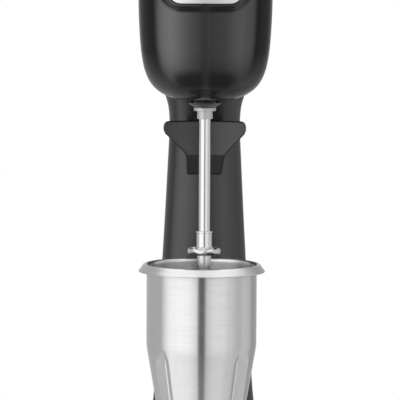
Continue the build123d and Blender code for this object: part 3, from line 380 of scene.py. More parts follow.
def head_table():
    """Distance from the head's centre to its outline, at even angles from bottom to top."""
    along = np.r_[0, np.cumsum(np.hypot(*np.diff(HEAD_PTS, axis=0).T))]
    at = np.linspace(0, along[-1], 3000)
    r = cubic(along, HEAD_PTS[:, 0], at, clamp=(1, -1))
    height = cubic(along, HEAD_PTS[:, 1], at, clamp=(0, 0)) - HEAD_CENTRE
    angle, dist = np.arctan2(height, np.maximum(r, 0)), np.hypot(r, height)
    order = np.argsort(angle)
    even = np.linspace(-math.pi / 2, math.pi / 2, HEAD_STEPS + 1)
    return np.interp(even, angle[order], dist[order])


HEAD_DIST = head_table()


def head_body(x, y, z):
    stretch = np.where(y < AXIS_Y, 1.0, HEAD_STRETCH)
    r = np.sqrt(x * x + ((y - AXIS_Y) / stretch) ** 2)
    height = z - HEAD_Z - HEAD_CENTRE
    angle = np.arctan2(height, r)
    outline = read_table(HEAD_DIST, (angle + math.pi / 2) / (math.pi / HEAD_STEPS))
    return np.hypot(r, height) - outline


# Column sections, ellipses: (z, half width in x, half depth in y, y of the centre)
COLUMN = np.array([
    (2, 64, 43.0, 45.0), (10, 63, 42.5, 45.6), (16, 60, 41.0, 46.8), (20, 56, 38.5, 48.5),
    (25, 52.5, 36, 50.5), (33, 48.8, 34, 52.5), (45, 46.0, 32.8, 54), (61, 44.0, 31.8, 54.8),
    (120, 40.2, 30, 55.3), (184, 36.6, 28.3, 55.5), (235, 33.8, 27.3, 55.5),
    (283, 31.4, 26.6, 55.5), (303, 30.8, 26.4, 55.5), (314, 31.5, 26.9, 55.3),
    (320, 32.6, 27.5, 54.8), (326, 34.4, 28.3, 54.0), (335, 36.2, 29.2, 52.8),
    (346, 36.0, 29.1, 51.2), (357, 34.2, 28.2, 49.3), (369, 30.0, 25.2, 45.0),
    (386, 23.0, 19.5, 40.0)], float)
COLUMN_Z0, COLUMN_Z1, COLUMN_DZ = 2, 386, 0.5
COLUMN_TABLES = [cubic(COLUMN[:, 0], COLUMN[:, k], np.arange(COLUMN_Z0, COLUMN_Z1, COLUMN_DZ))
                 for k in (1, 2, 3)]


def column(x, y, z):
    u = (np.clip(z, COLUMN_Z0, COLUMN_Z1 - 1) - COLUMN_Z0) / COLUMN_DZ
    half_w, half_d, centre = (read_table(table, u) for table in COLUMN_TABLES)
    d = np.sqrt((x / half_w) ** 2 + ((y - centre) / half_d) ** 2)
    side = np.abs(x) / (np.abs(x) + np.abs(y - centre) + 1e-6)
    return (d - 1) * np.minimum(half_w, half_d) * (0.9 + 0.1 * side)


PAD_R = 75.0        # radius of the cylinder the pad's front face is cut from
PAD_PROUD = 58.9    # how far the pad's face stands in front of the spindle axis
PAD_MARGIN = 2.7    # width of the pad round the plate


def pad_y(x):
    """y of the front face of the raised pad round the name plate."""
    return AXIS_Y - PAD_PROUD + PAD_R - np.sqrt(np.maximum(PAD_R * PAD_R - np.square(x), 1.0))


def pad(x, y, z):
    qx = np.abs(x) - (PLATE_W / 2 - PLATE_R)
    qz = np.abs(z - PLATE_Z) - (PLATE_H / 2 - PLATE_R)
    corner = np.hypot(np.maximum(qx, 0), np.maximum(qz, 0))
    edge = corner + np.minimum(np.maximum(qx, qz), 0) - PLATE_R
    return smax(edge - PAD_MARGIN, (pad_y(x) - y) * 0.97, 2.4)


def head_field(x, y, z):
    """Head body, the column's top running into it, and the pad on the front."""
    # the field is evened out where the body is stretched
    even = 1.0 + 0.35 * np.clip((y - AXIS_Y) / 100, 0, 1)
    body = head_body(x, y, z) / np.where(y > AXIS_Y, even, 1.0)
    neck = smax(column(x, y, z), z - 384.0, 6)
    d = smin(body, neck, 9.0)
    near = (np.abs(z - PLATE_Z) < 40) & (y < -50)
    return np.where(near, smin(d, np.where(near, pad(x, y, z), 99.0), 6.5), d)


BASE_RATIO = 196.0 / 170.0          # depth to width of the base


def base(x, y, z):
    """A flat, well-rounded superellipsoid."""
    r = np.sqrt(x * x + (y / BASE_RATIO) ** 2)
    s = (r / 85.2) ** 5.46 + (np.abs(z - 6.5) / 14.6) ** 2.2
    return (np.power(np.maximum(s, 1e-9), 0.36) - 1) * 14.0


def stand_field(x, y, z):
    """Base and column in one, with the round cup seat sunk into the base."""
    d = smin(base(x, y, z), smax(column(x, y, z), 6.0 - z, 2), 7.0)
    seat = smax(np.hypot(x, y - AXIS_Y) - 33.5, SEAT_Z - z, 1.2)
    return smax(d, -seat, 2.2)


# ------------------------------------------------------------------ shader node helpers
def feed(tree, target, inputs):
    """Sets or links a node's inputs from {socket: value or output socket}."""
    for socket, value in inputs.items():
        if isinstance(value, bpy.types.NodeSocket):
            tree.links.new(value, target.inputs[socket])
        else:
            target.inputs[socket].default_value = value


def node(tree, kind, inputs=None, **settings):
    made = tree.nodes.new("ShaderNode" + kind)
    for key, value in settings.items():
        setattr(made, key, value)
    feed(tree, made, inputs or {})
    return made


def new_material(name):
    """Material, its node tree and its Principled shader."""
    mat = bpy.data.materials.new(name)
    mat.use_nodes = True
    return mat, mat.node_tree, mat.node_tree.nodes["Principled BSDF"]


def object_coords(tree):
    return node(tree, "TexCoord").outputs["Object"]


def noise(tree, vector, scale, detail=3.0, rough=0.5):
    inputs = {"Scale": scale, "Detail": detail, "Roughness": rough, "Vector": vector}
    return node(tree, "TexNoise", inputs).outputs["Fac"]


def remap(tree, value, span, onto=(0, 1)):
    """Carries span linearly onto another range, clamped."""
    inputs = {0: value, 1: span[0], 2: span[1], 3: onto[0], 4: onto[1]}
    return node(tree, "MapRange", inputs).outputs[0]


def maths(tree, operation, *values):
    return node(tree, "Math", dict(enumerate(values)), operation=operation).outputs[0]


def multiply(tree, a, b):
    return maths(tree, "MULTIPLY", a, b)


def mix_colour(tree, fac, *colours):
    """Mixes two colours, each an rgb tuple or an output socket."""
    colours = [(*c, 1.0) if isinstance(c, tuple) else c for c in colours]
    return node(tree, "Mix", {0: fac, 6: colours[0], 7: colours[1]}, data_type="RGBA").outputs[2]


def mix_value(tree, fac, a, b):
    return node(tree, "Mix", {0: fac, 2: a, 3: b}).outputs[0]


def separate(tree, vector):
    return node(tree, "SeparateXYZ", {0: vector}).outputs


def grey_ramp(tree, fac, stops, interpolation="EASE"):
    """A ramp of (position, level) stops, the first at 0 and the last at 1."""
    made = node(tree, "ValToRGB", {0: fac})
    made.color_ramp.interpolation = interpolation
    elements = made.color_ramp.elements
    for element, (position, level) in zip(elements, (stops[0], stops[-1])):
        element.position, element.color = position, (level,) * 3 + (1,)
    for position, level in stops[1:-1]:
        elements.new(position).color = (level,) * 3 + (1,)
    return made.outputs[0]


def bump(tree, shader, height, strength, dist=0.0002):
    made = node(tree, "Bump", {"Strength": strength, "Distance": dist, "Height": height})
    tree.links.new(made.outputs[0], shader.inputs["Normal"])


# ------------------------------------------------------------------ materials
SIDE_TOP = 1.25     # levels of the painted light by side are held in the ramp as shares of this


def gloss_level(tree, vector, head_on, slant, under, neck, side_light):
    """Share of the gloss kept, by viewing angle, by normal and by place, which paints light and
    shade into it; None for all of it.
    """
    level = None
    # painted light and shade by viewing angle: the gloss kept face to face and at a slant darkens
    # those parts of the reflections
    if slant is not None:
        facing = node(tree, "LayerWeight", {"Blend": 0.5}).outputs["Facing"]
        lost = 1 - head_on
        level = grey_ramp(tree, facing, [
            (0, head_on), (0.012, head_on + 0.06 * lost), (0.04, head_on + 0.4 * lost),
            (0.085, head_on + 0.8 * lost), (0.15, 1), (0.27, 1), (0.39, slant), (0.74, slant),
            (0.90, 0.5), (1, 0.7)])
    if under is not None or side_light:
        normal = separate(tree, node(tree, "NewGeometry").outputs["Normal"])
    # painted shade: less gloss on faces that look down
    if under is not None:
        if level is None:
            level = remap(tree, normal[2], (-0.12, -0.24), onto=(1.0, under))
        else:
            level = mix_value(tree, remap(tree, normal[2], (-0.12, -0.5)), level, under)
    # painted highlights and shade: more gloss on one side than the other, and less on faces that
    # look down
    if side_light:
        stops = [((x + 1) / 2, share / SIDE_TOP) for x, share in side_light]
        side = grey_ramp(tree, remap(tree, normal[0], (-1, 1)), stops, "LINEAR")
        level = multiply(tree, level, multiply(tree, side, SIDE_TOP))
        down = remap(tree, normal[2], (-0.10, -0.30), onto=(1.0, 0.78))
        level = multiply(tree, level, down)
    if neck:      # painted shade: duller in the middle below the head, standing in for the head's shadow on the neck
        place_xyz = separate(tree, vector)
        off_centre = maths(tree, "ABSOLUTE", place_xyz[0])
        across = remap(tree, off_centre, (0.011, 0.027), onto=(0.10, 1.25))
        high = remap(tree, place_xyz[2], (0.299, 0.309))
        level = multiply(tree, level, mix_value(tree, high, 1.0, across))
    return level


def coated_black(name, base, rough, peel, spec=0.5, grain=700.0, ior=1.5,
                 head_on=None, slant=None, under=None, neck=False, side_light=()):
    """Painted or moulded black: orange peel, fine grain, handling haze.

    head_on, slant and the underside share are the shares of the gloss kept face to face, at a
    slant and on undersides, as painted light and shade; the side list gives (x of the normal,
    share), painted highlights and shade by side.
    on undersides; side_light lists (x of the normal, share).
    """
    mat, tree, shader = new_material(name)
    vector = node(tree, "Mapping", {"Vector": object_coords(tree)}).outputs["Vector"]
    big = noise(tree, vector, scale=14, detail=4, rough=0.55)
    mid = noise(tree, vector, scale=90)
    fine = noise(tree, vector, scale=grain, detail=2)
    colour = mix_colour(tree, remap(tree, big, (0.3, 0.7)),
                        (base * 0.92, base * 0.92, base * 0.93),
                        (base * 1.12, base * 1.12, base * 1.13))
    roughness = maths(tree, "ADD",
                      remap(tree, big, (0.25, 0.75), onto=(rough - 0.03, rough + 0.03)),
                      remap(tree, mid, (0.3, 0.7), onto=(-0.012, 0.012)))
    feed(tree, shader, {"Base Color": colour, "Roughness": roughness, "IOR": ior})
    level = gloss_level(tree, vector, head_on, slant, under, neck, side_light)
    gloss = spec if level is None else multiply(tree, level, spec)
    feed(tree, shader, {"Specular IOR Level": gloss})
    height = maths(tree, "ADD", multiply(tree, mid, 0.6), multiply(tree, fine, 0.4))
    bump(tree, shader, height, strength=peel, dist=0.0003)
    return mat


def metal(name, col, rough, streak, axis="z", about=(0.0, AXIS_Y * MM), aniso=0.0,
          dirt=0.06, rough_var=0.05, bump_s=0.04):
    """Metal with fine lines round an upright axis (z) or from left to right (x).

    Roughness and tint also vary slowly; streak and dirt darken the tint.
    """
    mat, tree, shader = new_material(name)
    coords = object_coords(tree)
    centred = node(tree, "VectorMath", {0: coords, 1: (*about, 0)}, operation="SUBTRACT")
    x, y, z = separate(tree, centred.outputs[0])
    if axis == "z":
        squares = multiply(tree, x, x), multiply(tree, y, y)
        radius = maths(tree, "SQRT", maths(tree, "ADD", *squares))
        angle = maths(tree, "ARCTAN2", y, x)
        stretched = ((angle, 0.6), (z, 260.0), (radius, 260.0))
    else:
        stretched = ((x, 18.0), (z, 1400.0), (y, 30.0))
    parts = {i: multiply(tree, *pair) for i, pair in enumerate(stretched)}
    line_vector = node(tree, "CombineXYZ", parts).outputs[0]
    lines = noise(tree, line_vector, scale=3.0, detail=2.0)
    slow = noise(tree, coords, scale=22, detail=4, rough=0.6)
    spots = noise(tree, coords, scale=160, detail=2)
    colour = mix_colour(tree, remap(tree, slow, (0.3, 0.72)),
                        tuple(c * (1 - dirt) for c in col), col)
    colour = mix_colour(tree, remap(tree, lines, (0.35, 0.65), onto=(0, streak)),
                        colour, tuple(c * 0.72 for c in col))
    half, part = rough_var * 0.5, rough_var * 0.6
    slow_rough = remap(tree, slow, (0.3, 0.7), onto=(rough - half, rough + half))
    line_rough = remap(tree, lines, (0.3, 0.7), onto=(-part, part))
    spot_rough = remap(tree, spots, (0.4, 0.7), onto=(0, rough_var * 0.3))
    roughness = maths(tree, "ADD", slow_rough, maths(tree, "ADD", line_rough, spot_rough))
    feed(tree, shader, {"Metallic": 1.0, "Base Color": colour, "Roughness": roughness})
    bump(tree, shader, lines, strength=bump_s, dist=0.0001)
    if aniso:
        tangent = node(tree, "Tangent", direction_type="RADIAL", axis="Z").outputs[0]
        feed(tree, shader, {"Anisotropic": aniso, "Anisotropic Rotation": 0.25,
                            "Tangent": tangent})
    return mat


def rubber(name, base, rough, spec=0.35, grain=600, tints=None):
    """Rubber or plain plastic, grey of level base unless two tints are given."""
    mat, tree, shader = new_material(name)
    vector = node(tree, "Mapping", {"Vector": object_coords(tree)}).outputs["Vector"]
    cloud = noise(tree, vector, scale=35, detail=4, rough=0.6)
    fine = noise(tree, vector, scale=grain, detail=2)
    tints = tints or ((base * 0.8,) * 3, (base * 1.25,) * 3)
    feed(tree, shader, {
        "Base Color": mix_colour(tree, remap(tree, cloud, (0.3, 0.7)), *tints),
        "Roughness": remap(tree, cloud, (0.3, 0.7), onto=(rough - 0.07, rough + 0.07)),
        "Specular IOR Level": spec})
    height = maths(tree, "ADD", fine, multiply(tree, cloud, 0.5))
    bump(tree, shader, height, strength=0.12)
    return mat


def winding(name, col):
    """Enamelled wire laid side by side."""
    mat, tree, shader = new_material(name)
    coords = object_coords(tree)
    wires = node(tree, "TexWave", {"Scale": 1500.0, "Distortion": 1.2, "Detail Scale": 30,
                                   "Vector": coords}, bands_direction="Z")
    cloud = noise(tree, coords, scale=120)
    feed(tree, shader, {
        "Base Color": mix_colour(tree, remap(tree, cloud, (0.3, 0.7)),
                                 tuple(c * 0.6 for c in col), col),
        "Metallic": 0.85,
        "Roughness": remap(tree, cloud, (0.3, 0.7), onto=(0.28, 0.45))})
    bump(tree, shader, wires.outputs["Fac"], strength=0.5)
    return mat


# Painted light and shade in the head's gloss, by side: (x of the normal, from left to right,
# share)
HEAD_SIDE_LIGHT = (
    (-1, 1.1), (-0.7, 1.2), (-0.52, 1.15), (-0.43, 0.96), (-0.35, 0.73), (-0.25, 0.54),
    (-0.16, 0.45), (-0.07, 0.5), (-0.02, 1.0), (0.03, 1.1), (0.085, 0.5), (0.12, 0.44),
    (0.2, 0.40), (0.285, 0.42), (0.37, 0.54), (0.46, 0.80), (0.55, 1.0), (0.64, 0.93), (1, 0.95))

# slot name: (kind of material, its settings)
MATERIALS = {
    # painted light and shade in the head's gloss: by viewing angle, on undersides and by side
    "black_moulding": (coated_black, dict(
        base=0.012, rough=0.22, peel=0.03, spec=1.0, ior=1.58, head_on=1.0, slant=0.05,
        under=0.6, side_light=HEAD_SIDE_LIGHT)),
    # painted shade in the hook's gloss on its undersides
    "hook_moulding": (coated_black, dict(
        base=0.018, rough=0.30, peel=0.05, spec=0.78, under=0.45)),
    "plate_metal": (metal, dict(
        col=(0.90, 0.90, 0.91), rough=0.45, streak=0.12, axis="x", rough_var=0.08,
        bump_s=0.02)),
    "zinc_steel": (metal, dict(col=(0.62, 0.63, 0.66), rough=0.33, streak=0.2, dirt=0.15)),
    "black_steel": (coated_black, dict(base=0.03, rough=0.4, peel=0.06)),
    "dark_plastic": (coated_black, dict(base=0.02, rough=0.45, peel=0.08, spec=0.4)),
    "rocker_plastic": (coated_black, dict(base=0.035, rough=0.2, peel=0.02, spec=0.8)),
    "bottom_steel": (coated_black, dict(
        base=0.045, rough=0.55, peel=0.25, spec=0.35, grain=400)),
    "foot_rubber": (rubber, dict(base=0.02, rough=0.6)),
    "cord_rubber": (rubber, dict(base=0.016, rough=0.42, spec=0.4)),
    "slinger_rubber": (rubber, dict(base=0.06, rough=0.24, spec=1.0)),
    "brass": (metal, dict(col=(0.76, 0.58, 0.28), rough=0.27, streak=0.2, dirt=0.2)),
    "cast_aluminium": (metal, dict(
        col=(0.66, 0.66, 0.67), rough=0.46, streak=0.05, axis="x", dirt=0.2, rough_var=0.12)),
    "lamination_steel": (metal, dict(
        col=(0.34, 0.35, 0.37), rough=0.4, streak=0.6, dirt=0.2, bump_s=0.5)),
    "copper_wire": (winding, dict(col=(0.62, 0.27, 0.12))),
    "copper_bar": (metal, dict(col=(0.76, 0.42, 0.26), rough=0.25, streak=0.4, dirt=0.25)),
    "bearing_steel": (metal, dict(col=(0.7, 0.7, 0.71), rough=0.16, streak=0.1)),
    "carbon": (rubber, dict(base=0.03, rough=0.55)),
    "capacitor_plastic": (rubber, dict(
        base=None, rough=0.3, spec=0.5, grain=200,
        tints=((0.42, 0.26, 0.05), (0.5, 0.33, 0.08)))),
    "lead_insulation": (rubber, dict(base=0.08, rough=0.45)),
    "fan_plastic": (rubber, dict(base=0.22, rough=0.45, spec=0.4)),
    "polished_steel": (metal, dict(
        col=(0.80, 0.80, 0.81), rough=0.14, streak=0.06, dirt=0.03, rough_var=0.04,
        bump_s=0.01)),
    "agitator_steel": (metal, dict(
        col=(0.80, 0.80, 0.80), rough=0.26, streak=0.12, dirt=0.12, rough_var=0.1)),
    "cup_steel": (metal, dict(
        col=(0.76, 0.76, 0.76), rough=0.25, streak=0.10, about=(CUP_X * MM, AXIS_Y * MM),
        aniso=0.93, dirt=0.03, rough_var=0.03, bump_s=0.004)),
}
MATS = {name: make(name, **settings) for name, (make, settings) in MATERIALS.items()}

# looks that differ from those of their slot
# the stand's copy of the black moulding, with painted shade in its gloss: dimmed face to face, at
# a slant and in the middle below the head
STAND = coated_black("black_moulding_stand", base=0.014, rough=0.24, peel=0.03, spec=0.85,
                     ior=1.52, head_on=0.62, slant=0.60, neck=True)
SATIN = metal("turned_satin", col=(0.66, 0.66, 0.66), rough=0.52, streak=0.12,
              rough_var=0.06, bump_s=0.05)
slot_of = {s["node"]: s["material_slot"] for s in frame["record"]["subparts"]}


def paint(obj, slot):
    obj.data.materials.clear()
    obj.data.materials.append(MATS[slot])


def dress(obj, slot, body, *stands_for, material=None):
    """Paints a piece, ties it to a moving body and lets it stand for CAD nodes."""
    paint(obj, slot)
    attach(obj, body)
    if stands_for:
        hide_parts(*stands_for)
    if material:
        obj.data.materials[0] = material


for node_name, cad_node in NODES.items():
    paint(cad_node, slot_of[node_name])


# ------------------------------------------------------------------ stand: base and column
UP, DOWN = (0, 0, 1), (0, 0, -1)
stand = net("stand_visual", stand_field, (-90, -103, 1), (90, 103, 330), STEP,
            cuts=[((0, 0, NECK_Z - JOINT), UP), ((0, 0, 4.0), DOWN)])

# access cover in the column's back, cut out of it with a joint line round it
COVER_W, COVER_Z0, COVER_Z1, COVER_R = 42.0, 64.0, 300.0, 9
COVER_GAP = 0.9                     # added to the opening's width and height


def cover_cutter(gap, y0, y1):
    outline = rounded_rect(COVER_W + gap, COVER_Z1 - COVER_Z0 + gap, COVER_R + gap / 2,
                           0, (COVER_Z0 + COVER_Z1) / 2, 10)
    return prism("cut", outline, y0, y1)


cover = copy_of(stand, "rear_cover_visual")
boolean(cover, cover_cutter(0, 72, 110), "INTERSECT")
boolean(stand, cover_cutter(COVER_GAP, 71.5, 111))
dress(stand, "black_moulding", "frame", "stand_shell", material=STAND)
for hole_z, hole_y in ((76, 85.0), (293, 80.7)):
    drill(cover, radius=3.9, depth=12, seg=40, start=(0, hole_y, hole_z), turn=TO_BACK)
dress(cover, "black_moulding", "frame", "column_rear_cover", material=STAND)

# ------------------------------------------------------------------ head
CAP_GAP = 0.45
head = net("head_visual", head_field, (-62, -96, 320), (62, 88, 494), STEP * 0.9,
           cuts=[((0, 0, NECK_Z + JOINT), DOWN)])
cap = copy_of(head, "head_cap_visual")
slice_mesh(cap, [((0, 0, CAP_Z + CAP_GAP), DOWN)])
slice_mesh(head, [((0, 0, CAP_Z), UP)])


def inset_head(x, y, z):
    return head_field(x, y, z) + 1.1


# a set-back step inside the joint between shell and cap
cap_joint = net("cap_joint", inset_head, (-62, -96, 452), (62, 88, 460), 2.2,
                cuts=[((0, 0, CAP_Z - 1.0), DOWN), ((0, 0, CAP_Z + 1.6), UP)])

# round opening for the spindle
boolean(head, lathe("cut", [(0, 320), (8.9, 320), (8.9, 336), (0, 336)], 64))

# six slots across the back
SLOT_Z, SLOT_PITCH = 396, 8
for i in range(6):
    slot_outline = rounded_rect(30, 3.2, 1.59, 0, SLOT_Z + SLOT_PITCH * i, 6)
    boolean(head, prism("cut", slot_outline, 55, 100))

# seat of the speed switch in the right side
SWITCH_Y, SWITCH_Z = -8.0, 434.0
switch_outline = rounded_rect(16.8, 23.8, 1.2, SWITCH_Y, SWITCH_Z, 4)
boolean(head, prism("cut", switch_outline, 54.8, 75, "x"))

dress(head, "black_moulding", "frame", "head_shell")
dress(cap, "black_moulding", "frame", "head_cap")
dress(cap_joint, "black_moulding", "frame")

# ------------------------------------------------------------------ name plate and its pocket
PLATE_POINTS = 160


def even_outline(w, h, r, n):
    """Even points round a rounded rectangle, starting at the middle of its right side."""
    middle = (w / 2, 0.0)
    points = np.array([middle] + rounded_rect(w, h, r, 0, 0, 16) + [middle])
    along = np.r_[0, np.cumsum(np.hypot(*np.diff(points, axis=0).T))]
    at = np.linspace(0, along[-1], n, endpoint=False)
    return np.stack([np.interp(at, along, points[:, k]) for k in (0, 1)], 1)


def bent_slab(name, sections, smooth_deg):
    """A plate-shaped slab bent round the pad.

    sections, from back to front: (growth of the outline, distance in front of the pad).
    """
    n = PLATE_POINTS
    verts, faces = [], []
    for grow, proud in sections:
        outline = even_outline(PLATE_W + 2 * grow, PLATE_H + 2 * grow, PLATE_R + grow, n)
        verts += [(x, float(pad_y(x)) - proud, PLATE_Z + z) for x, z in outline]
    for k in range(len(sections) - 1):
        for i in range(n):
            j = (i + 1) % n
            faces.append((k * n + i, k * n + j, (k + 1) * n + j, (k + 1) * n + i))
    # each cap joins the upper and lower halves, so that it follows the bend
    for at in (0, (len(sections) - 1) * n):
        faces.append((at, at + 1, at + n - 1))
        faces.append((at + n // 2, at + n // 2 + 1, at + n // 2 - 1))
        faces += [(at + i, at + i + 1, at + n - i - 1, at + n - i) for i in range(1, n // 2 - 1)]
    return solid(name, verts, faces, smooth_deg)


POCKET = ((0.75, -1.6), (0.75, -0.5), (0.85, -0.25), (1.05, 0.0), (1.4, 2.5))
boolean(head, bent_slab("cut", POCKET, 30))

PLATE_PROUD, PLATE_THICK, PLATE_EDGE = 0.15, 1.1, 0.35
plate = bent_slab("name_plate_visual", (
    (0, PLATE_PROUD - PLATE_THICK), (0, PLATE_PROUD - PLATE_EDGE),
    (-PLATE_EDGE * 0.3, PLATE_PROUD - PLATE_EDGE * 0.3), (-PLATE_EDGE, PLATE_PROUD)), 50)
dress(plate, "plate_metal", "frame", "name_plate")

# ------------------------------------------------------------------ spindle group
LOWER_DISC = (153.0, 159.0)         # bottom and top of the lower agitator
UPPER_DISC = (196.0, 202.6)
DISC_BORE = 3.05
SLEEVE_BORE = 4.85

# Turned outlines: (r, z, corner radius)
SLINGER = [
    (4.0, 321.25, 0), (9.5, 321.25, 0.1), (10.3, 321.7, 0.5), (12.9, 323.7, 0.8),
    (13.65, 325.3, 0.2), (13.2, 325.5, 0.2), (12.2, 324.9, 0.6), (9.5, 324.8, 0.3),
    (9.35, 325.9, 0.3), (8.9, 326.3, 0.3), (8.1, 326.5, 0.3), (7.9, 327.5, 0.3),
    (7.2, 328.0, 0.4), (5.2, 328.25, 0.3), (4.0, 328.25, 0), (4.0, 321.25, 0)]
COLLAR = [
    (4.0, 321.2, 0), (9.4, 321.2, 0.35), (9.4, 318.4, 0.35), (6.6, 318.4, 0.3),
    (6.6, 311.6, 0.3), (SLEEVE_BORE, 311.6, 0.1), (SLEEVE_BORE, 314.6, 0.1),
    (4.0, 314.6, 0.1), (4.0, 321.2, 0)]
SHAFT = [
    (0, 146.5, 0), (3.0, 146.5, 0.5), (3.0, UPPER_DISC[1], 0.05), (4.8, UPPER_DISC[1], 0.3),
    (4.8, 314.55, 0.2), (0, 314.55, 0)]
SLEEVE = [
    (SLEEVE_BORE, 202.2, 0), (7.0, 202.2, 0), (6.7, 202.9, 0.5), (6.55, 203.6, 0.5),
    (6.5, 204.6, 0.5), (6.5, 214.3, 0.1), (6.95, 214.6, 0.15), (6.95, 215.75, 0.2),
    (6.6, 216.0, 0.2), (SLEEVE_BORE, 216.0, 0.1), (SLEEVE_BORE, 202.2, 0)]
SPACER = [
    (DISC_BORE, LOWER_DISC[1], 0), (5.9, LOWER_DISC[1], 0.3), (5.9, 196.4, 0.3),
    (DISC_BORE, 196.4, 0), (DISC_BORE, LOWER_DISC[1], 0)]

slinger = lathe("slinger_visual", round_profile(SLINGER))
dress(slinger, "slinger_rubber", "spindle", "splash_slinger")

collar = lathe("collar_visual", round_profile(COLLAR))
for side in (1, -1):                # cross hole, bored from the middle to either side
    drill(collar, radius=1.5, depth=10, seg=32, start=(0, AXIS_Y, 316.4),
          turn=Matrix.Rotation(math.radians(90 * side), 4, "Y"))
dress(collar, slot_of["spindle_collar"], "spindle", "spindle_collar", material=SATIN)

shaft = lathe("spindle_visual", round_profile(SHAFT))
dress(shaft, "polished_steel", "spindle", "spindle_shaft")
sleeve = lathe("sleeve_visual", round_profile(SLEEVE))
dress(sleeve, "polished_steel", "spindle", "agitator_sleeve")

# Agitator section: (r, height as a share of half the thickness)
DISC = [
    (DISC_BORE, -1), (6.4, -1), (9.0, -1), (11.4, -1), (12.7, -1), (13.5, -0.9),
    (14.1, -0.66), (14.4, -0.3), (14.35, 0.02), (14.1, 0.28), (13.6, 0.5), (12.7, 0.68),
    (11.5, 0.82), (10.2, 0.91), (9.0, 0.97), (7.8, 1), (6.8, 1), (DISC_BORE, 1),
    (DISC_BORE, -1)]
GROOVES = 6


def agitator(name, z0, z1, dip, phase):
    """A thick disc, domed above and flat below, with grooves of depth dip in its top."""
    middle, half = (z0 + z1) / 2, (z1 - z0) / 2

    def push(r, z, angle):
        top = z > -half * 0.2
        wave = math.cos(GROOVES * (angle - phase) + (0 if top else math.pi))
        groove = (0.5 + 0.5 * wave) ** 1.4       # 1 in a groove, 0 on a rib
        u = min(max((r - 7.0) / 6.6, 0), 1)
        depth = math.sin(math.pi * u ** 0.9) ** 1.2
        inward = 1 - 0.04 * groove * min(max((r - 11.5) / 2.5, 0), 1)
        return r * inward, middle + z - (dip * depth * groove if top else 0.0)

    outline = [(r, share * half) for r, share in DISC]
    return lathe(name, outline, 192, smooth_deg=60, shape=push)


upper = agitator("upper_agitator_visual", *UPPER_DISC, dip=1.7, phase=math.radians(20))
dress(upper, "agitator_steel", "spindle", "upper_agitator")
lower = agitator("lower_agitator_visual", *LOWER_DISC, dip=1.5, phase=0.0)
dress(lower, "agitator_steel", "spindle", "lower_agitator")
spacer = lathe("spacer_visual", round_profile(SPACER), 96)
dress(spacer, "agitator_steel", "spindle", "agitator_spacer")

# ------------------------------------------------------------------ cup
FLUTE_DEPTH = 2.3
FLUTE_STEEP, FLUTE_LONG = 5.6, 13.7     # width of a flute on either side of its crease
FLUTE_TOP = 117.5


def smoothstep(t):
    t = min(max(t, 0), 1)
    return t * t * (3 - 2 * t)


def cup_flute(r, z, angle):
    """How far the four flutes press the tapered wall in.

    Each has a crease at 45 degrees, a steep wall towards the front or back and a long
    floor towards the sides.
    """
    deepest = 0.0
    for crease in (45, 135, 225, 315):
        off = (math.degrees(angle) - crease + 180) % 360 - 180
        arc = math.radians(off if crease in (135, 315) else -off) * r   # + towards the sides
        if arc < 0:
            t = -arc / FLUTE_STEEP
            u = 1 - t
        else:
            t = arc / FLUTE_LONG
            u = 1 - t ** 2
        if u > 0:
            u += 0.24 * max(0.0, 1 - abs(arc) / 0.8)
        top = FLUTE_TOP - t * t * 6.0            # arched top
        if u > 0 and z < top:
            rise = smoothstep((top - z) / 10.0)
            foot = smoothstep((z - (SEAT_Z + 4)) / 12.0)
            deepest = max(deepest, FLUTE_DEPTH * u * rise * foot)
    return deepest


def cup_shape(r, z, angle):
    return (r - cup_flute(r, z, angle), z) if z < 118 and r > 20 else (r, z)


def straight(start, end, n):
    """n even steps from start to end, without the start itself."""
    return [tuple(a + (b - a) * k / n for a, b in zip(start, end)) for k in range(1, n + 1)]


WALL_STEPS, LIP_STEPS = 62, 6
WALL_OUT, WALL_IN = 46.9, 45.9      # radii of the upper wall
# All (r, z), from the middle of the underside, up outside, over the mouth, down inside
FOOT_OUT = [(r, SEAT_Z + up) for r, up in (
    (0, 0.9), (20.5, 0.9), (22.3, 0.5), (23.6, 0), (25.6, 0), (27.2, 0.35), (28.7, 1.4),
    (29.6, 2.7), (30.0, 4.2))]
OUTSIDE = FOOT_OUT + straight(FOOT_OUT[-1], (46.3, 114.8), WALL_STEPS)
OUTSIDE += [(46.55, 116.6), (46.75, 118.6), (46.88, 120.6), (WALL_OUT, 122.5)]
OUTSIDE += [(WALL_OUT, z) for z in (126, 132, 140, 150, 160, 170, 177, 180.5)]
# the rolled mouth: a thin lip that turns out and down into a skirt, then back up
MOUTH = [(WALL_OUT, 183.0), (46.92, 184.4), (46.96, 185.4), (47.35, 186.25), (48.1, 186.85),
         (48.75, 186.75), (49.2, 186.35)]
MOUTH += straight(MOUTH[-1], (53.05, 181.55), LIP_STEPS)
MOUTH += [(53.2, 181.38), (53.5, 181.4), (53.82, 181.7), (53.88, 181.95), (53.8, 182.15)]
MOUTH += straight(MOUTH[-1], (50.0, 187.1), LIP_STEPS)
MOUTH += [(49.65, 187.55), (49.2, 187.87), (48.7, 188.0), (48.1, 188.0), (47.5, 187.85),
          (46.9, 187.5), (46.35, 186.85), (46.0, 186.0), (WALL_IN, 185.2)]
INSIDE = [(WALL_IN, z) for z in (184, 180, 172, 160, 150, 140, 130, 122.3)]
INSIDE += [(45.8, 119.6), (45.6, 117.4), (45.3, 114.95)]
INSIDE += straight(INSIDE[-1], (29.0, SEAT_Z + 4.35), WALL_STEPS)
INSIDE += [(r, SEAT_Z + up) for r, up in (
    (28.3, 2.8), (27.0, 1.75), (25.3, 1.45), (20.5, 1.9), (0, 1.9))]

cup = lathe("cup_visual", OUTSIDE + MOUTH + INSIDE, CUP_SEGMENTS, cx=CUP_X, smooth_deg=45,
            shape=cup_shape)
dress(cup, "cup_steel", "cup_body", "cup")

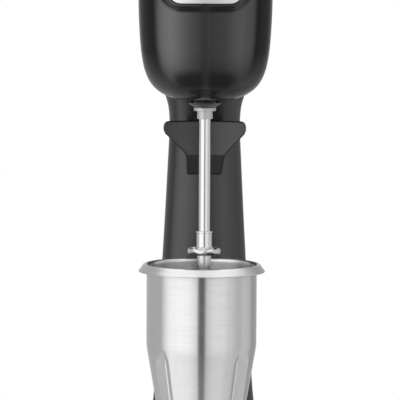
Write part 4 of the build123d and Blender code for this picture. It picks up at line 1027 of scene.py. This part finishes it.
# ------------------------------------------------------------------ cup hook
# Outline seen from the front: (x, z)
HOOK = [
    (-31.4, 306.2), (31.4, 306.2), (33.4, 305.7), (34.9, 304.2), (35.6, 301.9),
    (35.6, 298.6), (34.4, 295.2), (18.6, 277.6), (17.3, 274.2), (16.4, 270.0), (15.3, 259.0),
    (-15.9, 259.0), (-15.9, 273.5), (-16.5, 276.4), (-18.0, 279.0), (-34.2, 295.6),
    (-35.6, 299.0), (-35.6, 301.9), (-34.9, 304.2), (-33.4, 305.7)]
HOOK_R_IN, HOOK_R_OUT = 58.0, 63.2      # the curved wings, about the spindle axis


def polygon_distance(px, pz, polygon):
    """Signed distance to a closed outline, minus inside."""
    best = np.full(np.shape(px), 1e9)
    inside = np.zeros(np.shape(px), bool)
    for (x0, z0), (x1, z1) in zip(polygon, polygon[1:] + polygon[:1]):
        ex, ez = x1 - x0, z1 - z0
        t = np.clip(((px - x0) * ex + (pz - z0) * ez) / (ex * ex + ez * ez), 0, 1)
        best = np.minimum(best, np.hypot(px - x0 - t * ex, pz - z0 - t * ez))
        if z0 != z1:
            inside ^= ((z0 > pz) != (z1 > pz)) & (px < x0 + (pz - z0) * ex / ez)
    return np.where(inside, -best, best)


def hook_field(x, y, z):
    rho = np.hypot(x, y - AXIS_Y)
    flat = polygon_distance(x, z, HOOK)
    # concave face; the stem below leans back
    front = HOOK_R_IN - rho + np.maximum(0, 277.0 - z) * 0.27
    core = smax(smax(np.abs(x) - 15.2, z - 301.5, 1.0), y - 33.0, 1.0)
    back = smin(rho - HOOK_R_OUT, core, 1.5)
    return smax(flat, smax(front, back, 1.4), 1.3)


hook = net("cup_hook_visual", hook_field, (-38, 8, 256), (38, 36, 309), HOOK_STEP)
drill(hook, radius=4.15, depth=40, seg=64, start=(0, 10, SENSOR_Z), turn=TO_BACK)
dress(hook, "hook_moulding", "frame", "cup_hook")


def coil(name, turns, radius, wire, y0, length, steps=160, sides=10):
    """A coil spring along +y at the sensing button."""
    verts, faces = [], []
    for i in range(steps + 1):
        a = 2 * math.pi * turns * i / steps
        centre = Vector((radius * math.cos(a), y0 + length * i / steps,
                         SENSOR_Z + radius * math.sin(a)))
        along = Vector((-radius * math.sin(a), length / (2 * math.pi * turns),
                        radius * math.cos(a))).normalized()
        outward = Vector((math.cos(a), 0, math.sin(a)))
        sideways = along.cross(outward).normalized()
        for k in range(sides):
            b = 2 * math.pi * k / sides
            verts.append(tuple(centre + wire * (math.cos(b) * outward + math.sin(b) * sideways)))
    for i in range(steps):
        low, high = i * sides, (i + 1) * sides
        for k in range(sides):
            k1 = (k + 1) % sides
            faces.append((low + k, low + k1, high + k1, high + k))
    faces += [tuple(range(sides - 1, -1, -1)), tuple(steps * sides + k for k in range(sides))]
    return solid(name, verts, faces, 50)


# the sensing button's return spring, which closes up as the button goes in
spring = coil("sensor_spring_visual", turns=4.0, radius=4.0, wire=0.3, y0=34.75, length=7.6)
dress(spring, slot_of["sensor_spring"], "frame", "sensor_spring")
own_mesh(spring)


# ------------------------------------------------------------------ CAD nodes that stay
def soften(name, width):
    """Rounds a CAD node's sharp edges, as moulded or tumbled parts have."""
    obj = NODES[name]
    weld = obj.modifiers.new("weld", "WELD")
    weld.merge_threshold = 1e-6
    bevel = obj.modifiers.new("edges", "BEVEL")
    bevel.width, bevel.segments = width * MM, 3
    bevel.limit_method, bevel.angle_limit = "ANGLE", math.radians(40)


for node_name, width in (("speed_switch_body", 0.3), ("speed_rocker", 0.3),
                         ("base_plate", 0.3), ("rubber_feet", 0.4), ("plug_body", 0.3),
                         ("agitator_nut", 0.25)):
    soften(node_name, width)
for cad_node in NODES.values():
    if not cad_node.hide_render:
        shade(cad_node.data, 32)

# ------------------------------------------------------------------ cord and strain relief
CORD_R = 3.3
# Bezier points: (point, left handle, right handle)
CORD = [
    ((0, 78, 34), (0, 70, 34), (0, 98, 34)),
    ((4, 121, 27.5), (1.5, 114, 32.5), (6, 127, 23.5)),
    ((14, 136, 12), (9.5, 133, 17), (17, 138, 9)),
    ((30, 139, 7.6), (24, 139, 7.6), (36, 139, 7.6))]


def make_cord():
    curve = bpy.data.curves.new("cord_curve", "CURVE")
    curve.dimensions, curve.use_fill_caps = "3D", True
    curve.bevel_depth, curve.bevel_resolution, curve.resolution_u = CORD_R * MM, 12, 24
    spline = curve.splines.new("BEZIER")
    spline.bezier_points.add(len(CORD) - 1)
    for point, (centre, left, right) in zip(spline.bezier_points, CORD):
        point.co = Vector(centre) * MM
        point.handle_left, point.handle_right = Vector(left) * MM, Vector(right) * MM
        point.handle_left_type = point.handle_right_type = "FREE"
    path = link(bpy.data.objects.new("cord_tmp", curve))
    graph = bpy.context.evaluated_depsgraph_get()
    mesh = bpy.data.meshes.new_from_object(path.evaluated_get(graph))
    bpy.data.objects.remove(path)
    return tidy(link(bpy.data.objects.new("power_cord_visual", mesh)), 40)


dress(make_cord(), "cord_rubber", "frame", "power_cord")

# strain relief with its bending ribs: (r, distance along +y), six ribs that get smaller
RIB_PITCH = 2.4
relief_outline = [(3.4, -6.4), (7.5, -6.4), (7.5, -4.4), (4.9, -4.4), (4.9, 0.0), (7.2, 0.2),
                  (7.1, 2.2)]
for k in range(6):
    rib_r, start = 6.6 - 0.28 * k, RIB_PITCH * k
    relief_outline += [(rib_r - 0.9, 2.8 + start), (rib_r - 0.9, 3.4 + start),
                       (rib_r, 3.8 + start), (rib_r - 0.1, 4.8 + start)]
relief_outline += [(4.6, 17.4), (4.3, 18.0), (3.4, 18.0), (3.4, -6.4)]
relief = lathe("strain_relief_visual", relief_outline, 72, cx=0, cy=0, smooth_deg=40)
place(relief, TO_BACK, (0, 87.2, 34))
dress(relief, "cord_rubber", "frame", "strain_relief")


# ------------------------------------------------------------------ floor
FLOOR_RINGS = (60, 120, 200, 300, 420, 560, 720, 900)
FLOOR_SEGMENTS = 96
WHITE = (1, 1, 1, 1)


def floor_material():
    """Pale floor that goes to white for the camera and to nothing for other rays."""
    mat, tree, shader = new_material("studio_floor")
    coords = object_coords(tree)
    from_centre = node(tree, "VectorMath", {0: coords}, operation="LENGTH").outputs["Value"]
    to_white = remap(tree, from_centre, (0.17, 0.40))
    cloud = noise(tree, coords, scale=30, detail=4, rough=0.6)
    feed(tree, shader, {
        "Base Color": mix_colour(tree, remap(tree, cloud, (0.3, 0.7)), (0.78,) * 3, (0.82,) * 3),
        "Roughness": remap(tree, cloud, (0.3, 0.7), onto=(0.55, 0.68))})
    white = node(tree, "Emission", {"Color": WHITE, "Strength": 1.0})
    clear = node(tree, "BsdfTransparent")
    camera_ray = node(tree, "LightPath").outputs["Is Camera Ray"]

    def blend(fac, one, two):
        return node(tree, "MixShader", {0: fac, 1: one, 2: two}).outputs[0]

    pale = shader.outputs[0]
    seen = blend(to_white, pale, white.outputs[0])
    felt = blend(remap(tree, from_centre, (0.11, 0.20)), pale, clear.outputs[0])
    feed(tree, tree.nodes["Material Output"], {"Surface": blend(camera_ray, felt, seen)})
    return mat


def stage_floor():
    n = FLOOR_SEGMENTS
    angles = [2 * math.pi * k / n for k in range(n)]
    verts = [(0, 0, 0)]
    verts += [(r * math.cos(a), r * math.sin(a), 0) for r in FLOOR_RINGS for a in angles]
    faces = [(0, 1 + k, 1 + (k + 1) % n) for k in range(n)]
    for j in range(len(FLOOR_RINGS) - 1):
        for k in range(n):
            a, b = 1 + j * n + k, 1 + j * n + (k + 1) % n
            faces.append((a, a + n, b + n, b))
    floor = solid("studio_floor", verts, faces, 0)
    floor.data.materials.append(floor_material())


stage_floor()

# ------------------------------------------------------------------ studio light
# Brightness round the horizon: (degrees from the camera, + to the right, level).
# Soft boxes stand left and right of a dark gap by the camera.
AROUND = [
    (-180, 0.62), (-165, 0.50), (-130, 0.50), (-94.5, 0.52), (-90, 0.66), (-84, 0.92),
    (-70, 1.20), (-46, 1.30), (-28, 1.24), (-14, 1.04), (-8.2, 0.9), (-6.6, 0.11),
    (6.6, 0.11), (8.2, 0.64), (15, 0.82), (28, 0.96), (46, 0.95), (62, 0.77), (80, 0.60),
    (91.5, 0.55), (94.5, 0.66), (116, 0.62), (134, 0.38), (160, 0.42), (180, 0.62)]
AROUND_TOP = 2.0        # levels are held in the ramp as shares of this
# Over height, 0 straight down and 1 straight up: where the boxes are, and the light elsewhere
BOX_HEIGHT = [(0, 0), (0.155, 0), (0.275, 1), (0.80, 1), (0.90, 0), (1, 0)]
AMBIENT = [(0, 0.14), (0.30, 0.10), (0.6, 0.4), (0.85, 0.60), (1, 0.62)]
AMBIENT_GAIN = 2.0


def build_world():
    """The studio as reflections see it; the camera sees plain white."""
    world = bpy.data.worlds.new("studio")
    bpy.context.scene.world = world
    world.use_nodes = True
    tree = world.node_tree
    tree.nodes.clear()
    output = node(tree, "OutputWorld")
    x, y, up = separate(tree, node(tree, "TexCoord").outputs["Generated"])
    azimuth = maths(tree, "ARCTAN2", x, multiply(tree, y, -1.0))
    stops = [((degrees + 180) / 360, level / AROUND_TOP) for degrees, level in AROUND]
    around = grey_ramp(tree, remap(tree, azimuth, (-math.pi, math.pi)), stops)
    around = multiply(tree, around, AROUND_TOP)
    # side boxes hang lower than the front ones
    reach = remap(tree, maths(tree, "ABSOLUTE", azimuth),
                  (math.radians(70), math.radians(105)), onto=(0.0, 0.55))
    low = maths(tree, "LESS_THAN", up, 0.0)
    height = maths(tree, "ADD", up, multiply(tree, reach, low))
    boxes = grey_ramp(tree, remap(tree, height, (-1, 1)), BOX_HEIGHT)
    ambient = grey_ramp(tree, remap(tree, up, (-1, 1)), AMBIENT, "LINEAR")
    band = multiply(tree, around, boxes)
    rest = multiply(tree, multiply(tree, ambient, AMBIENT_GAIN),
                    maths(tree, "SUBTRACT", 1.0, boxes))
    total = maths(tree, "ADD", band, rest)
    camera_ray = node(tree, "LightPath").outputs["Is Camera Ray"]
    light = node(tree, "Background", {"Color": WHITE, "Strength": total})
    white = node(tree, "Background", {"Color": WHITE, "Strength": 1.0})
    mix = node(tree, "MixShader", {0: camera_ray, 1: light.outputs[0], 2: white.outputs[0]})
    feed(tree, output, {"Surface": mix.outputs[0]})
    world.cycles.sampling_method = "MANUAL"
    world.cycles.sample_map_resolution = 1024


build_world()
scene = bpy.context.scene
scene.view_settings.view_transform = "Standard"
scene.view_settings.look = "None"

# ------------------------------------------------------------------ camera
CAMERA_TARGET = (-3.8, -34.0, 242.4)
CAMERA_DISTANCE = 3.0               # metres
CAMERA_PITCH, CAMERA_ROLL = math.radians(5.0), math.radians(0.3)

camera_data = bpy.data.cameras.new("camera")
camera_data.sensor_width, camera_data.lens = 36.0, 317.6
camera_data.clip_start, camera_data.clip_end = 0.05, 50
camera = link(bpy.data.objects.new("camera", camera_data))
target = Vector(CAMERA_TARGET) * MM
camera.location = target + Vector((0, -CAMERA_DISTANCE * math.cos(CAMERA_PITCH),
                                   CAMERA_DISTANCE * math.sin(CAMERA_PITCH)))
aim = (target - camera.location).to_track_quat("-Z", "Y")
camera.rotation_mode = "QUATERNION"
camera.rotation_quaternion = aim @ Matrix.Rotation(CAMERA_ROLL, 4, "Z").to_quaternion()
scene.camera = camera
